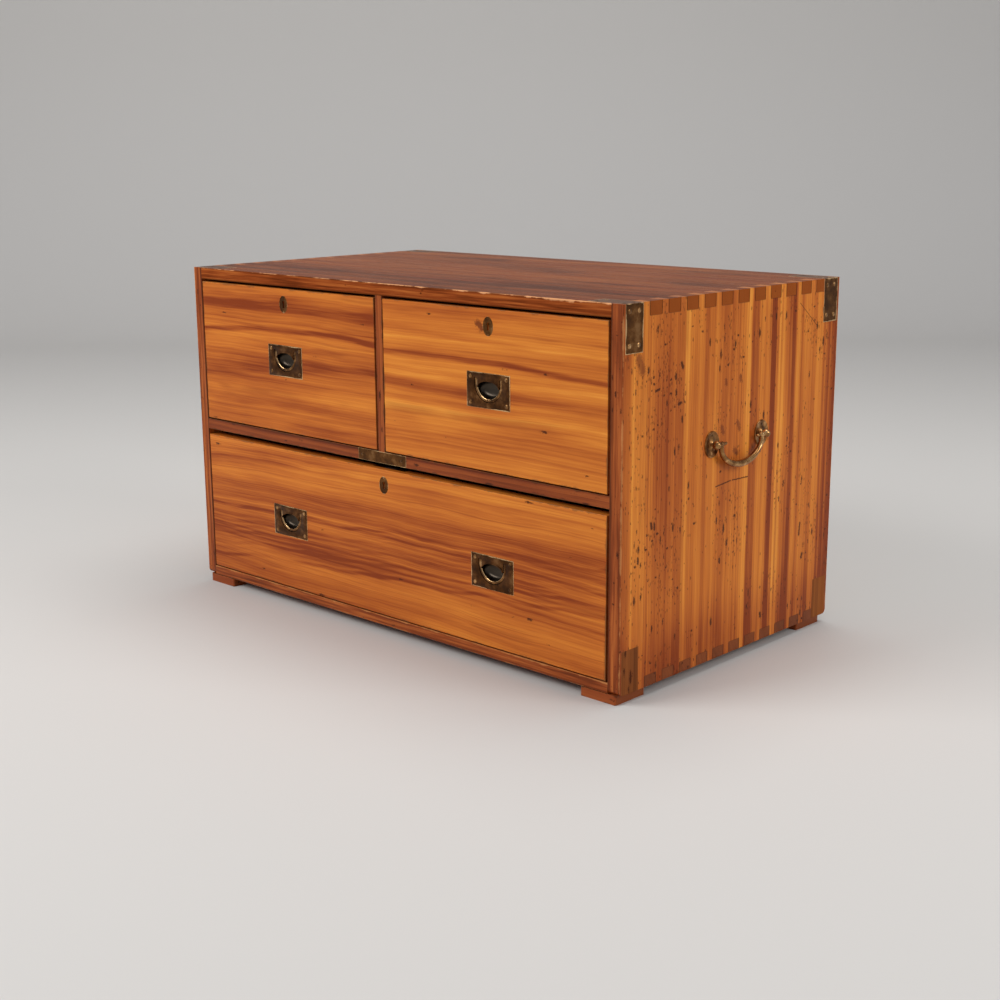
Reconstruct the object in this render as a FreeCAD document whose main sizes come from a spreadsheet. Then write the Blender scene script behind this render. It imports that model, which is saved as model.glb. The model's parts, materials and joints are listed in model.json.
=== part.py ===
import FreeCAD, Part
import math
import os

import Sketcher

# Campaign chest: the lower half of a two-part camphor wood chest on small block feet.
# Two short drawers stand over one long drawer. The case is dovetailed together, the brass is
# let in flush, and a drop handle hangs on each end.
# Frame: origin on the floor under the middle of the case, +X to the right, the front faces -Y,
# +Z up. Millimetres.

doc = FreeCAD.newDocument("CampaignChest")
sheet = doc.addObject("Spreadsheet::Sheet", "Dims")


class Size:
    """A size that holds its present value and the sheet formula that gives it."""

    def __init__(self, value, text):
        self.value = float(value)
        self.text = text

    @staticmethod
    def of(thing):
        return thing if isinstance(thing, Size) else Size(thing, "(%r)" % float(thing))

    def _join(self, other, sign, value):
        return Size(value, "(" + self.text + " " + sign + " " + other.text + ")")

    def __add__(self, other):
        other = Size.of(other)
        return self._join(other, "+", self.value + other.value)

    def __radd__(self, other):
        return Size.of(other) + self

    def __sub__(self, other):
        other = Size.of(other)
        return self._join(other, "-", self.value - other.value)

    def __rsub__(self, other):
        return Size.of(other) - self

    def __mul__(self, other):
        other = Size.of(other)
        return self._join(other, "*", self.value * other.value)

    def __rmul__(self, other):
        return Size.of(other) * self

    def __truediv__(self, other):
        other = Size.of(other)
        return self._join(other, "/", self.value / other.value)

    def __neg__(self):
        return Size(-self.value, "(-1 * " + self.text + ")")


sheet_rows = []


def size(alias, value, note):
    """Write one driving dimension into the sheet and return it."""
    row = str(len(sheet_rows) + 1)
    sheet.set("A" + row, alias)
    sheet.set("B" + row, str(value))
    sheet.set("C" + row, note)
    sheet.setAlias("B" + row, alias)
    sheet_rows.append(alias)
    return Size(value, "Dims." + alias)


# The case
case_width = size("case_width", 905, "across the ends, without the handles")
case_depth = size("case_depth", 508, "front edge to back edge")
case_height = size("case_height", 520.5, "underside to top, without the feet")
side_thick = size("side_thick", 20, "end boards")
top_thick = size("top_thick", 18, "top board")
base_thick = size("base_thick", 15.5, "bottom board")
long_open = size("long_open", 238.5, "height of the long drawer's opening")
rail_thick = size("rail_thick", 17, "rail between the two rows")
rail_depth = size("rail_depth", 60, "rail, front to back")
rail_tenon = size("rail_tenon", 9, "stub tenon of the rail into an end board")
tenon_shoulder = size("tenon_shoulder", 3, "rail above and below its tenon")
tenon_front = size("tenon_front", 12, "rail in front of its tenon")
tenon_back = size("tenon_back", 10, "rail behind its tenon")
partition_thick = size("partition_thick", 14, "upright between the short drawers")
partition_shift = size("partition_shift", -3.7, "upright and strap from the middle of the case")
housing = size("housing", 4, "depth of a housing or groove in a board")
housing_stop = size("housing_stop", 12, "solid wood in front of the upright's housings")
runner_width = size("runner_width", 38, "drawer runner at an end")
centre_width = size("centre_width", 76, "drawer runner under the upright")
dust_thick = size("dust_thick", 8, "thin board between the runners")
dust_gap = size("dust_gap", 0.1, "round the thin board in its groove")
dust_end_gap = size("dust_end_gap", 0.6, "beyond the thin board's ends in the grooves")
back_thick = size("back_thick", 9, "back boards")
back_rebate = size("back_rebate", 9, "how far the back boards lie over each carcass board")
board_gap = size("board_gap", 0.3, "between two back boards")
glue_line = size("glue_line", 0.05, "all round a glued joint")
edge_round = size("edge_round", 1.2, "worn arris of an outer board")
corner_front = size("corner_front", 9, "worn round lower corner of an end, at the front")
corner_rear = size("corner_rear", 7.5, "worn round lower corner of an end, at the back")
base_round = size("base_round", 2.5, "worn lower front arris of the bottom board")

# Through dovetails of the case
pin_wide = size("pin_wide", 13.8, "pin of an end board, at its outer face")
pin_first = size("pin_first", 46.7, "front edge to the middle of the first whole pin")
pin_last = size("pin_last", 29.7, "back edge to the middle of the last whole pin")
pin_front = size("pin_front", 14.3, "half pin at the front, at its outer face")
pin_back = size("pin_back", 8, "half pin at the back, at its outer face")
tail_slope = size("tail_slope", 0.14, "slope of every dovetail")
PIN_COUNT = 12

# Feet, corner plates and patches
foot_height = size("foot_height", 13.5, "block foot")
foot_width = size("foot_width", 62, "block foot, across")
foot_depth = size("foot_depth", 62, "block foot, front to back")
foot_inset = size("foot_inset", 6, "foot from the end of the case")
foot_front = size("foot_front", 0.5, "front foot from the front edge")
foot_rear = size("foot_rear", 8.5, "rear foot from the back edge")
foot_round = size("foot_round", 3, "rounded corner of a foot")
plate_width = size("plate_width", 36, "corner plate, across")
plate_leg = size("plate_leg", 64, "corner plate, along each leg")
plate_thick = size("plate_thick", 2, "corner plate")
plate_margin = size("plate_margin", 4, "corner plate from the front or back edge")
plate_gap = size("plate_gap", 0.2, "round a plate that is let in")
patch_thick = size("patch_thick", 2.5, "wood patch let in where a plate is lost")
patch_height = size("patch_height", 62, "wood patch, upwards")
strap_length = size("strap_length", 104, "brass strap on the rail")
strap_thick = size("strap_thick", 1.6, "brass strap on the rail")

# Drop handles
post_spread = size("post_spread", 59.5, "handle post from the middle of the end")
post_level = size("post_level", 313.5, "handle post above the underside of the case")
post_out = size("post_out", 9, "pivot from the face of the end board")
ball_round = size("ball_round", 6.2, "radius of the post's ball")
neck_round = size("neck_round", 3.6, "radius of the post's neck")
shank_round = size("shank_round", 4, "radius of the post's shank in the wood")
shank_gap = size("shank_gap", 0.1, "round the shank")
rose_across = size("rose_across", 16.2, "half width of the oval rose")
rose_up = size("rose_up", 18.8, "half height of the oval rose")
rose_thick = size("rose_thick", 2.2, "oval rose")
rose_bevel = size("rose_bevel", 0.9, "bevelled rim of the rose")
nut_across = size("nut_across", 11, "square nut inside the end board")
nut_thick = size("nut_thick", 4, "square nut inside the end board")
nut_sink = size("nut_sink", 5, "counterbore that holds the nut")
nut_room = size("nut_room", 1, "counterbore radius beyond the nut's corners")
bail_reach = size("bail_reach", 49, "handle arm from the middle of the handle")
bail_drop = size("bail_drop", 34, "middle of the grip below the pivot")
bail_thin = size("bail_thin", 3.6, "radius of the handle at its arms")
bail_thick = size("bail_thick", 5.2, "radius of the handle at its grip")
spindle_round = size("spindle_round", 2.4, "radius of the handle's spindle")
spindle_gap = size("spindle_gap", 0.06, "round the spindle in the ball")
spindle_proud = size("spindle_proud", 0.9, "end of the spindle beyond the ball")
finial_length = size("finial_length", 13, "tapered end inside each arm")
finial_round = size("finial_round", 2.76, "radius of that end at the arm")
knuckle = size("knuckle", 4, "straight end of each arm below its pivot")

# Drawers
left_gap = size("left_gap", 1, "left of a drawer in its opening")
right_gap = size("right_gap", 4.2, "right of a drawer in its opening")
short_top_gap = size("short_top_gap", 4, "above a short drawer")
long_top_gap = size("long_top_gap", 9.5, "above the long drawer")
front_lift = size("front_lift", 1.8, "drawer front above its runner")
drawer_inset = size("drawer_inset", 0.3, "drawer front behind the front edge of the case")
drawer_back_gap = size("drawer_back_gap", 14, "behind a closed drawer")
front_thick = size("front_thick", 20, "drawer front")
front_lap = size("front_lap", 6, "drawer front in front of its dovetails")
front_bevel = size("front_bevel", 0.9, "worn arris of a drawer front")
lining_thick = size("lining_thick", 10, "drawer sides and back")
side_drop = size("side_drop", 3, "drawer side below the top of the front")
back_drop = size("back_drop", 8, "drawer back below the top of the sides")
floor_thick = size("floor_thick", 6, "drawer bottom")
floor_lift = size("floor_lift", 8, "underside of the drawer bottom above the runner")
floor_groove = size("floor_groove", 5, "groove for the drawer bottom")
floor_gap = size("floor_gap", 0.2, "above the drawer bottom in its groove")
drawer_pin = size("drawer_pin", 7, "pin of a drawer dovetail at its narrow end")
drawer_back_pin = size("drawer_back_pin", 6, "pin of a drawer back at its narrow end")
stop_width = size("stop_width", 34, "drawer stop, across")
stop_depth = size("stop_depth", 14, "drawer stop, front to back")
stop_height = size("stop_height", 5, "drawer stop")
stop_inset = size("stop_inset", 60, "drawer stop from the end of its drawer")
FRONT_TAILS = 4
BACK_PINS = 4

# Recessed pulls, in their own frame: the middle of the plate's face, +Y into the drawer
long_pull_reach = size("long_pull_reach", 223, "pull of the long drawer from its middle")
long_pull_drop = size("long_pull_drop", 4, "pull of the long drawer below its middle")
pull_thick = size("pull_thick", 2.2, "flange of the pull plate")
flange_end = size("flange_end", 9, "flange beyond the plate's thick middle, at each end")
flange_rim = size("flange_rim", 3, "flange beyond the plate's thick middle, above and below")
boss_end = size("boss_end", 2.3, "thick middle beyond the holes of the bail's pivots")
boss_over = size("boss_over", 4.5, "thick middle above the bail's groove")
boss_under = size("boss_under", 5.2, "thick middle below the bail's groove")
bowl_land = size("bowl_land", 0.6, "between the finger bowl and the bail's groove, at the sides")
bowl_sill = size("bowl_sill", 0.5, "between the finger bowl and the bail's groove, at the bottom")
bowl_depth = size("bowl_depth", 10.5, "finger bowl")
bowl_step = size("bowl_step", 6.5, "depth at which the bowl's steep wall turns in to its floor")
bowl_taper = size("bowl_taper", 1.8, "how far the steep wall leans in")
bowl_floor_in = size("bowl_floor_in", 6.2, "edge of the bowl's floor inside its rim")
bowl_wall = size("bowl_wall", 1.4, "wall of the finger bowl")
bowl_rise = size("bowl_rise", 1.4, "finger bowl above the middle of the plate")
bowl_room = size("bowl_room", 0.5, "round the back of the bowl in the drawer front")
ring_outer = size("ring_outer", 26.2, "outer radius of the pull's bail")
ring_band = size("ring_band", 4.6, "width of the pull's bail")
ring_thick = size("ring_thick", 3.4, "thickness of the pull's bail")
ring_rise = size("ring_rise", 10.2, "middle of the bail's bend above the middle of the plate")
ring_arm = size("ring_arm", 4.6, "pivot of the bail above the middle of its bend")
ring_sink = size("ring_sink", 0.2, "bail below the face of the plate")
ring_head = size("ring_head", 1.9, "bail above its pivot")
ring_soft = size("ring_soft", 0.8, "rounded edges of the bail")
ring_gap = size("ring_gap", 0.5, "round the bail in its groove")
groove_room = size("groove_room", 1.2, "behind the bail, for its turning head")
groove_floor = size("groove_floor", 1, "brass behind the groove")
pivot_round = size("pivot_round", 1.2, "radius of the bail's pivots")
pivot_gap = size("pivot_gap", 0.06, "round a pivot")
pivot_length = size("pivot_length", 3, "pivot in the plate")

# Locks and keyholes
key_level = size("key_level", 24, "keyhole below the top of the drawer front")
shield_across = size("shield_across", 9.6, "half width of the oval keyhole plate")
shield_up = size("shield_up", 13.2, "half height of the oval keyhole plate")
shield_thick = size("shield_thick", 1.2, "oval keyhole plate")
key_round = size("key_round", 2.6, "radius of the keyhole's round top")
key_slot = size("key_slot", 3, "width of the keyhole's slot")
key_drop = size("key_drop", 8.5, "keyhole's slot below the middle of its round top")
key_rise = size("key_rise", 3, "keyhole's round top above the middle of its plate")
lock_width = size("lock_width", 62, "lock case, across")
lock_height = size("lock_height", 42, "lock case, upwards")
lock_thick = size("lock_thick", 9, "lock case, front to back")
lock_face = size("lock_face", 10.5, "front of the lock case behind the drawer's face")
selvedge_thick = size("selvedge_thick", 2, "plate of the lock on the drawer's top edge")
selvedge_extra = size("selvedge_extra", 8, "selvedge beyond the lock case, both ends together")
bolt_width = size("bolt_width", 24, "lock bolt, across")
bolt_thick = size("bolt_thick", 6, "lock bolt, front to back")
bolt_length = size("bolt_length", 16.5, "lock bolt, upwards")
bolt_gap = size("bolt_gap", 0.15, "round the bolt")
bolt_bite = size("bolt_bite", 4, "thrown bolt into the board above")
mortise_play = size("mortise_play", 0.6, "round a thrown bolt in its mortise")
mortise_spare = size("mortise_spare", 1, "mortise beyond the thrown bolt")
lock_pin = size("lock_pin", 1.4, "radius of the pin that the key turns on")
lock_pin_tip = size("lock_pin_tip", 3, "end of that pin behind the drawer's face")
key_depth = size("key_depth", 3, "depth of the keyhole in the lock case")

doc.recompute()

# Levels and places that several pieces share
half_width = case_width / 2
half_depth = case_depth / 2
inner_half = half_width - side_thick
base_top = foot_height + base_thick
rail_low = base_top + long_open
rail_top = rail_low + rail_thick
case_top = foot_height + case_height
under_top = case_top - top_thick
short_open = under_top - rail_top
front_y = -half_depth
back_face = half_depth - back_thick
drawer_y = front_y + drawer_inset
drawer_depth = case_depth - drawer_inset - back_thick - drawer_back_gap
upright_left = partition_shift - partition_thick / 2
upright_right = partition_shift + partition_thick / 2
short_top = short_open - short_top_gap
long_top = long_open - long_top_gap
pin_pitch = (case_depth - pin_first - pin_last) / (PIN_COUNT - 1)
handle_z = foot_height + post_level
bolt_y = lock_face + lock_thick / 2


def bay(low, high):
    """Width and middle of a drawer whose opening reaches from low to high."""
    return high - low - left_gap - right_gap, (low + high + left_gap - right_gap) / 2


left_width, left_centre = bay(-inner_half, upright_left)
right_width, right_centre = bay(upright_right, inner_half)
long_width, long_centre = bay(-inner_half, inner_half)

nodes = {}
NORMAL = {"XY": 1, "YZ": 1, "XZ": -1}


def keep(node, thing):
    """Give a finished sub-part its label and list it for export."""
    thing.Label = node
    nodes[node] = thing
    return thing


def bind(thing, path, formula):
    """Tie one property of a document object to the sheet."""
    thing.setExpression(path, Size.of(formula).text)


def place(thing, x=0, y=0, z=0):
    """Move a sub-part in the row frame, tied to the sheet."""
    bind(thing, "Placement.Base.x", x)
    bind(thing, "Placement.Base.y", y)
    bind(thing, "Placement.Base.z", z)
    return thing


def new_body(name):
    return doc.addObject("PartDesign::Body", "body_" + name)


def origin_feature(body, role):
    return [item for item in body.Origin.OriginFeatures if item.Role == role][0]


def new_sketch(body, name, plane, at=0):
    """A sketch on one of the body's own planes, moved to the coordinate at along its normal."""
    sketch = body.newObject("Sketcher::SketchObject", name)
    sketch.AttachmentSupport = (origin_feature(body, plane + "_Plane"), [""])
    sketch.MapMode = "FlatFace"
    bind(sketch, "AttachmentOffset.Base.z", Size.of(at) * NORMAL[plane])
    return sketch


def fix_distance(sketch, kind, geometry, point, amount):
    """Hold one point of a sketch across (DistanceX) or up (DistanceY) from its origin."""
    rule = Sketcher.Constraint(kind, -1, 1, geometry, point, Size.of(amount).value)
    index = sketch.addConstraint(rule)
    bind(sketch, "Constraints[%d]" % index, amount)


def fix_point(sketch, geometry, point, u, v):
    """Hold one point of a sketch at sheet-driven distances from its origin."""
    fix_distance(sketch, "DistanceX", geometry, point, u)
    fix_distance(sketch, "DistanceY", geometry, point, v)


def fix_radius(sketch, geometry, radius):
    index = sketch.addConstraint(Sketcher.Constraint("Radius", geometry, Size.of(radius).value))
    bind(sketch, "Constraints[%d]" % index, radius)


def vector(u, v):
    return FreeCAD.Vector(Size.of(u).value, Size.of(v).value, 0)


def draw_polygon(sketch, points):
    """A closed outline of straight lines."""
    count = len(points)
    first = sketch.GeometryCount
    for i in range(count):
        line = Part.LineSegment(vector(*points[i]), vector(*points[(i + 1) % count]))
        sketch.addGeometry(line)
    for i in range(count):
        following = first + (i + 1) % count
        sketch.addConstraint(Sketcher.Constraint("Coincident", first + i, 2, following, 1))
    for i in range(count):
        fix_point(sketch, first + i, 1, points[i][0], points[i][1])


def draw_box(sketch, u_low, v_low, u_high, v_high):
    corners = [(u_low, v_low), (u_high, v_low), (u_high, v_high), (u_low, v_high)]
    draw_polygon(sketch, corners)


def draw_circle(sketch, u, v, radius):
    circle = Part.Circle(vector(u, v), FreeCAD.Vector(0, 0, 1), Size.of(radius).value)
    index = sketch.addGeometry(circle)
    fix_point(sketch, index, 3, u, v)
    fix_radius(sketch, index, radius)


def draw_oval(sketch, across, up, level=0):
    """An oval on the sketch's vertical axis, held by the ends of its two axes."""
    middle = Size.of(level)
    ends = [(Size.of(0), up), (across, Size.of(0))]
    if across.value > up.value:
        ends.reverse()
    far, near_end = [vector(u, middle + v) for u, v in ends]
    index = sketch.addGeometry(Part.Ellipse(far, near_end, vector(0, middle)))
    sketch.exposeInternalGeometry(index)
    fix_point(sketch, index, 3, 0, middle)
    for axis, (u, v) in zip((index + 1, index + 2), ends):
        start = sketch.getPoint(axis, 1)
        way = 1 if start.x + start.y > middle.value else -1
        if axis == index + 1:
            fix_point(sketch, axis, 1, u * way, middle + v * way)
        elif v.value:
            fix_distance(sketch, "DistanceY", axis, 1, middle + v * way)
        else:
            fix_distance(sketch, "DistanceX", axis, 1, u * way)


def draw_arch(sketch, outer, inner, bend, head):
    """A band bent to a half circle round (0, bend) with straight arms up to head."""
    centre = vector(0, bend)
    up = FreeCAD.Vector(0, 0, 1)
    rims = []
    for radius in (outer, inner):
        circle = Part.Circle(centre, up, radius.value)
        rims.append(sketch.addGeometry(Part.ArcOfCircle(circle, math.pi, 2 * math.pi)))
    corners = [(-outer, bend), (-outer, head), (-inner, head), (-inner, bend)]
    left = [sketch.addGeometry(Part.LineSegment(vector(*corners[i]), vector(*corners[i + 1])))
            for i in range(3)]
    right = [sketch.addGeometry(Part.LineSegment(vector(-corners[i][0], corners[i][1]),
                                                 vector(-corners[i + 1][0], corners[i + 1][1])))
             for i in range(3)]
    for arm, end in ((left, 1), (right, 2)):
        sketch.addConstraint(Sketcher.Constraint("Coincident", arm[0], 1, rims[0], end))
        sketch.addConstraint(Sketcher.Constraint("Coincident", arm[0], 2, arm[1], 1))
        sketch.addConstraint(Sketcher.Constraint("Coincident", arm[1], 2, arm[2], 1))
        sketch.addConstraint(Sketcher.Constraint("Coincident", arm[2], 2, rims[1], end))
    for rim in rims:
        fix_point(sketch, rim, 3, 0, bend)
    fix_point(sketch, left[0], 1, -outer, bend)
    fix_point(sketch, left[2], 2, -inner, bend)
    for line, point in ((right[0], 1), (right[2], 2)):
        fix_distance(sketch, "DistanceY", line, point, bend)
    for arm, side in ((left, -1), (right, 1)):
        fix_point(sketch, arm[1], 1, outer * side, head)
        fix_point(sketch, arm[1], 2, inner * side, head)


volumes = {}


def settle(body, feature, grows):
    """Make the feature the body's tip, and make sure that it adds or cuts."""
    body.Tip = feature
    doc.recompute()
    after = body.Shape.Volume
    change = after - volumes.get(body.Name, 0)
    if (change <= 1e-6) if grows else (change >= -1e-6):
        raise RuntimeError("%s in %s changes the volume by %.6f" % (feature.Name, body.Name, change))
    volumes[body.Name] = after
    return feature


def pad(body, name, sketch, length, plane, toward=1):
    """Add material from the sketch towards the positive or negative side of its plane."""
    feature = body.newObject("PartDesign::Pad", name)
    feature.Profile = sketch
    bind(feature, "Length", length)
    feature.Reversed = toward * NORMAL[plane] < 0
    return settle(body, feature, True)


def pocket(body, name, sketch, length, plane, toward=1):
    """Cut material from the sketch towards the positive or negative side of its plane."""
    feature = body.newObject("PartDesign::Pocket", name)
    feature.Profile = sketch
    bind(feature, "Length", length)
    feature.Reversed = toward * NORMAL[plane] > 0
    return settle(body, feature, False)


def repeat(body, name, features, axis, length, count, grows):
    """Repeat features in a straight row."""
    row = body.newObject("PartDesign::LinearPattern", name)
    row.Originals = features
    row.Direction = (origin_feature(body, axis + "_Axis"), [""])
    bind(row, "Length", length)
    row.Occurrences = count
    return settle(body, row, grows)


def mirror(body, name, features, plane, grows):
    """Repeat features on the other side of one of the body's planes."""
    copy = body.newObject("PartDesign::Mirrored", name)
    copy.Originals = features
    copy.MirrorPlane = (origin_feature(body, plane + "_Plane"), [""])
    return settle(body, copy, grows)


def box_pad(body, name, low, high):
    """Add a block between two corners."""
    sketch = new_sketch(body, name + "_outline", "XY", low[2])
    draw_box(sketch, low[0], low[1], high[0], high[1])
    return pad(body, name, sketch, Size.of(high[2]) - low[2], "XY")


def box_pocket(body, name, low, high):
    """Cut a block between two corners."""
    sketch = new_sketch(body, name + "_outline", "XY", low[2])
    draw_box(sketch, low[0], low[1], high[0], high[1])
    return pocket(body, name, sketch, Size.of(high[2]) - low[2], "XY")


def edges_where(shape, test):
    """Names of the straight edges whose two ends both pass a test."""
    names = []
    for number, edge in enumerate(shape.Edges, 1):
        if len(edge.Vertexes) == 2 and all(test(corner.Point) for corner in edge.Vertexes):
            names.append("Edge%d" % number)
    return names


def dress(body, kind, name, names, amount):
    """Round (Fillet, Radius) or bevel (Chamfer, Size) some edges of the body's tip."""
    base = body.Tip
    feature = body.newObject("PartDesign::" + kind, name)
    feature.Base = (base, names)
    bind(feature, "Radius" if kind == "Fillet" else "Size", amount)
    return settle(body, feature, False)


def near(value, target):
    return abs(value - target.value) < 0.01


def outward(side, amount):
    """The x of a place that lies amount from the middle, on the right (1) or the left (-1)."""
    return Size.of(amount) * side


# The pins of the end boards, in plan: (inner front, outer front, outer back, inner back)
flare = side_thick * tail_slope
first_pin_y = front_y + pin_first
PIN_PLANS = {
    "front": (front_y, front_y, front_y + pin_front, front_y + pin_front + flare),
    "whole": (first_pin_y - pin_wide / 2 - flare, first_pin_y - pin_wide / 2,
              first_pin_y + pin_wide / 2, first_pin_y + pin_wide / 2 + flare),
    "back": (half_depth - pin_back - flare, half_depth - pin_back, half_depth, half_depth),
}


def pin_sketch(body, kind, side, at, gap):
    """One pin of an end board seen from above, grown by the glue line for its socket."""
    inner_front, outer_front, outer_back, inner_back = PIN_PLANS[kind]
    front_gap = 0 if kind == "front" else gap
    back_gap = 0 if kind == "back" else gap
    inner = outward(side, inner_half - gap)
    outer = outward(side, half_width)
    sketch = new_sketch(body, kind + "_pin_plan_%d" % len(body.Group), "XY", at)
    draw_polygon(sketch, [(inner, inner_front - front_gap), (outer, outer_front - front_gap),
                          (outer, outer_back + back_gap), (inner, inner_back + back_gap)])
    return sketch


def add_pins(body, side, low, height, label):
    """Pins along one end of an end board."""
    whole = None
    for kind in PIN_PLANS:
        sketch = pin_sketch(body, kind, side, low, Size.of(0))
        feature = pad(body, label + "_" + kind + "_pin", sketch, height, "XY")
        if kind == "whole":
            whole = feature
    repeat(body, label + "_pins", [whole], "Y", pin_pitch * (PIN_COUNT - 1), PIN_COUNT, True)


def cut_sockets(body, low, height):
    """Sockets for the pins along both ends of a tail board."""
    for side, label in ((1, "right"), (-1, "left")):
        whole = None
        for kind in PIN_PLANS:
            sketch = pin_sketch(body, kind, side, low, glue_line)
            feature = pocket(body, label + "_" + kind + "_socket", sketch, height, "XY")
            if kind == "whole":
                whole = feature
        repeat(body, label + "_sockets", [whole], "Y", pin_pitch * (PIN_COUNT - 1), PIN_COUNT, False)


# Rooms that are cut alike into every board that they cross: (low corner, high corner)
back_low_z = base_top - back_rebate
back_high_z = under_top + back_rebate
back_half = inner_half + back_rebate


def cut_back_room(body):
    """The rebate that takes the back boards."""
    box_pocket(body, "back_room", (-back_half, back_face, back_low_z),
               (back_half, half_depth, back_high_z))


def plate_front(rear):
    """Front edge of a corner plate or patch, at the front or the rear of the end."""
    return half_depth - plate_margin - plate_width if rear else front_y + plate_margin


def cut_plate_room(body, side, rear):
    """The shallow step that lets a corner plate in over the edge of the case."""
    y_low = plate_front(rear) - plate_gap
    outer = outward(side, half_width)
    inner = outward(side, half_width - plate_thick)
    far = outward(side, half_width - plate_leg - plate_gap)
    under = case_top - plate_thick
    low = case_top - plate_leg - plate_gap
    name = "plate_room_%s_%s" % ("right" if side > 0 else "left", "rear" if rear else "front")
    sketch = new_sketch(body, name + "_section", "XZ", y_low)
    draw_polygon(sketch, [(far, under), (inner, under), (inner, low),
                          (outer, low), (outer, case_top), (far, case_top)])
    pocket(body, name, sketch, plate_width + plate_gap * 2, "XZ")


def cut_patch_room(body, side, rear):
    """The shallow step that lets a wood patch in at a bottom corner."""
    y_low = plate_front(rear)
    name = "patch_room_%s_%s" % ("right" if side > 0 else "left", "rear" if rear else "front")
    box_pocket(body, name,
               (outward(side, half_width - patch_thick), y_low - glue_line, foot_height),
               (outward(side, half_width), y_low + plate_width + glue_line,
                foot_height + patch_height + glue_line))


def round_corner(body, name, side, rear, depth):
    """Round the lower corner of an end at the front or the rear, to a depth from its outer face."""
    radius = corner_rear if rear else corner_front
    way = -1 if rear else 1
    y = half_depth if rear else front_y
    z = foot_height
    sketch = new_sketch(body, name + "_outline", "YZ", outward(side, half_width - depth))
    along, up = vector(y + radius * way, z), vector(y, z + radius)
    circle = Part.Circle(vector(y + radius * way, z + radius), FreeCAD.Vector(0, 0, 1), radius.value)
    start = math.pi * (1.5 if rear else 1)
    low_end, high_end = (1, 2) if rear else (2, 1)
    under = sketch.addGeometry(Part.LineSegment(vector(y, z), along))
    face = sketch.addGeometry(Part.LineSegment(up, vector(y, z)))
    arc = sketch.addGeometry(Part.ArcOfCircle(circle, start, start + math.pi / 2))
    sketch.addConstraint(Sketcher.Constraint("Coincident", face, 2, under, 1))
    sketch.addConstraint(Sketcher.Constraint("Coincident", under, 2, arc, low_end))
    sketch.addConstraint(Sketcher.Constraint("Coincident", face, 1, arc, high_end))
    fix_point(sketch, under, 1, y, z)
    fix_point(sketch, under, 2, y + radius * way, z)
    fix_point(sketch, face, 1, y, z + radius)
    fix_radius(sketch, arc, radius)
    pocket(body, name, sketch, depth, "YZ", side)


def make_end_board(side, node):
    """End board: pins at both ends, stopped mortise, housing, rebate and handle holes."""
    body = new_body(node)
    inner = outward(side, inner_half)
    outer = outward(side, half_width)
    box_pad(body, "board", (inner, front_y, base_top), (outer, half_depth, under_top))
    add_pins(body, side, under_top, top_thick, "top")
    add_pins(body, side, foot_height, base_thick, "bottom")
    corner = edges_where(body.Shape, lambda p: near(abs(p.x), half_width) and near(p.y, front_y))
    dress(body, "Fillet", "front_arris", corner, edge_round)
    round_corner(body, "front_corner", side, False, side_thick)
    round_corner(body, "rear_corner", side, True, side_thick)
    cut_back_room(body)
    box_pocket(body, "rail_mortise",
               (inner, front_y + tenon_front, rail_low + tenon_shoulder),
               (outward(side, inner_half + rail_tenon), front_y + rail_depth - tenon_back,
                rail_top - tenon_shoulder))
    box_pocket(body, "runner_housing", (inner, front_y + rail_depth, rail_low),
               (outward(side, inner_half + housing), back_face, rail_top))
    for rear in (False, True):
        cut_plate_room(body, side, rear)
        cut_patch_room(body, side, rear)
    holes = new_sketch(body, "shank_circles", "YZ", inner)
    sinks = new_sketch(body, "nut_circles", "YZ", inner)
    for place_y in (-post_spread, post_spread):
        draw_circle(holes, place_y, handle_z, shank_round + shank_gap)
        draw_circle(sinks, place_y, handle_z, nut_across * math.sqrt(0.5) + nut_room)
    pocket(body, "shank_holes", holes, side_thick, "YZ", side)
    pocket(body, "nut_sinks", sinks, nut_sink, "YZ", side)
    return keep(node, body)


def cut_bolt_mortise(body, name, x, low):
    """The slot that a thrown lock bolt enters, in the underside of a board."""
    y = drawer_y + bolt_y
    half_x = bolt_width / 2 + mortise_play
    half_y = bolt_thick / 2 + mortise_play
    box_pocket(body, name, (x - half_x, y - half_y, low),
               (x + half_x, y + half_y, low + bolt_bite + mortise_spare))


def make_top_panel():
    """Top board: tails at both ends, rooms for the corner plates, upright and bolts."""
    body = new_body("top_panel")
    box_pad(body, "board", (-half_width, front_y, under_top), (half_width, half_depth, case_top))
    cut_sockets(body, under_top, top_thick)
    rims = edges_where(body.Shape, lambda p: near(p.z, case_top) and near(abs(p.y), half_depth))
    dress(body, "Fillet", "arris", rims, edge_round)
    cut_back_room(body)
    box_pocket(body, "upright_housing", (upright_left, front_y + housing_stop, under_top),
               (upright_right, back_face, under_top + housing))
    for side in (1, -1):
        for rear in (False, True):
            cut_plate_room(body, side, rear)
    cut_bolt_mortise(body, "bolt_mortise_left", left_centre, under_top)
    cut_bolt_mortise(body, "bolt_mortise_right", right_centre, under_top)
    return keep("top_panel", body)


def make_bottom_panel():
    """Bottom board: tails at both ends, rebate for the back and rooms for the patches."""
    body = new_body("bottom_panel")
    box_pad(body, "board", (-half_width, front_y, foot_height), (half_width, half_depth, base_top))
    cut_sockets(body, foot_height, base_thick)
    rim = edges_where(body.Shape, lambda p: near(p.z, foot_height) and near(p.y, front_y))
    dress(body, "Fillet", "front_arris", rim, base_round)
    cut_back_room(body)
    for side in (1, -1):
        for rear in (False, True):
            cut_patch_room(body, side, rear)
    return keep("bottom_panel", body)


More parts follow.
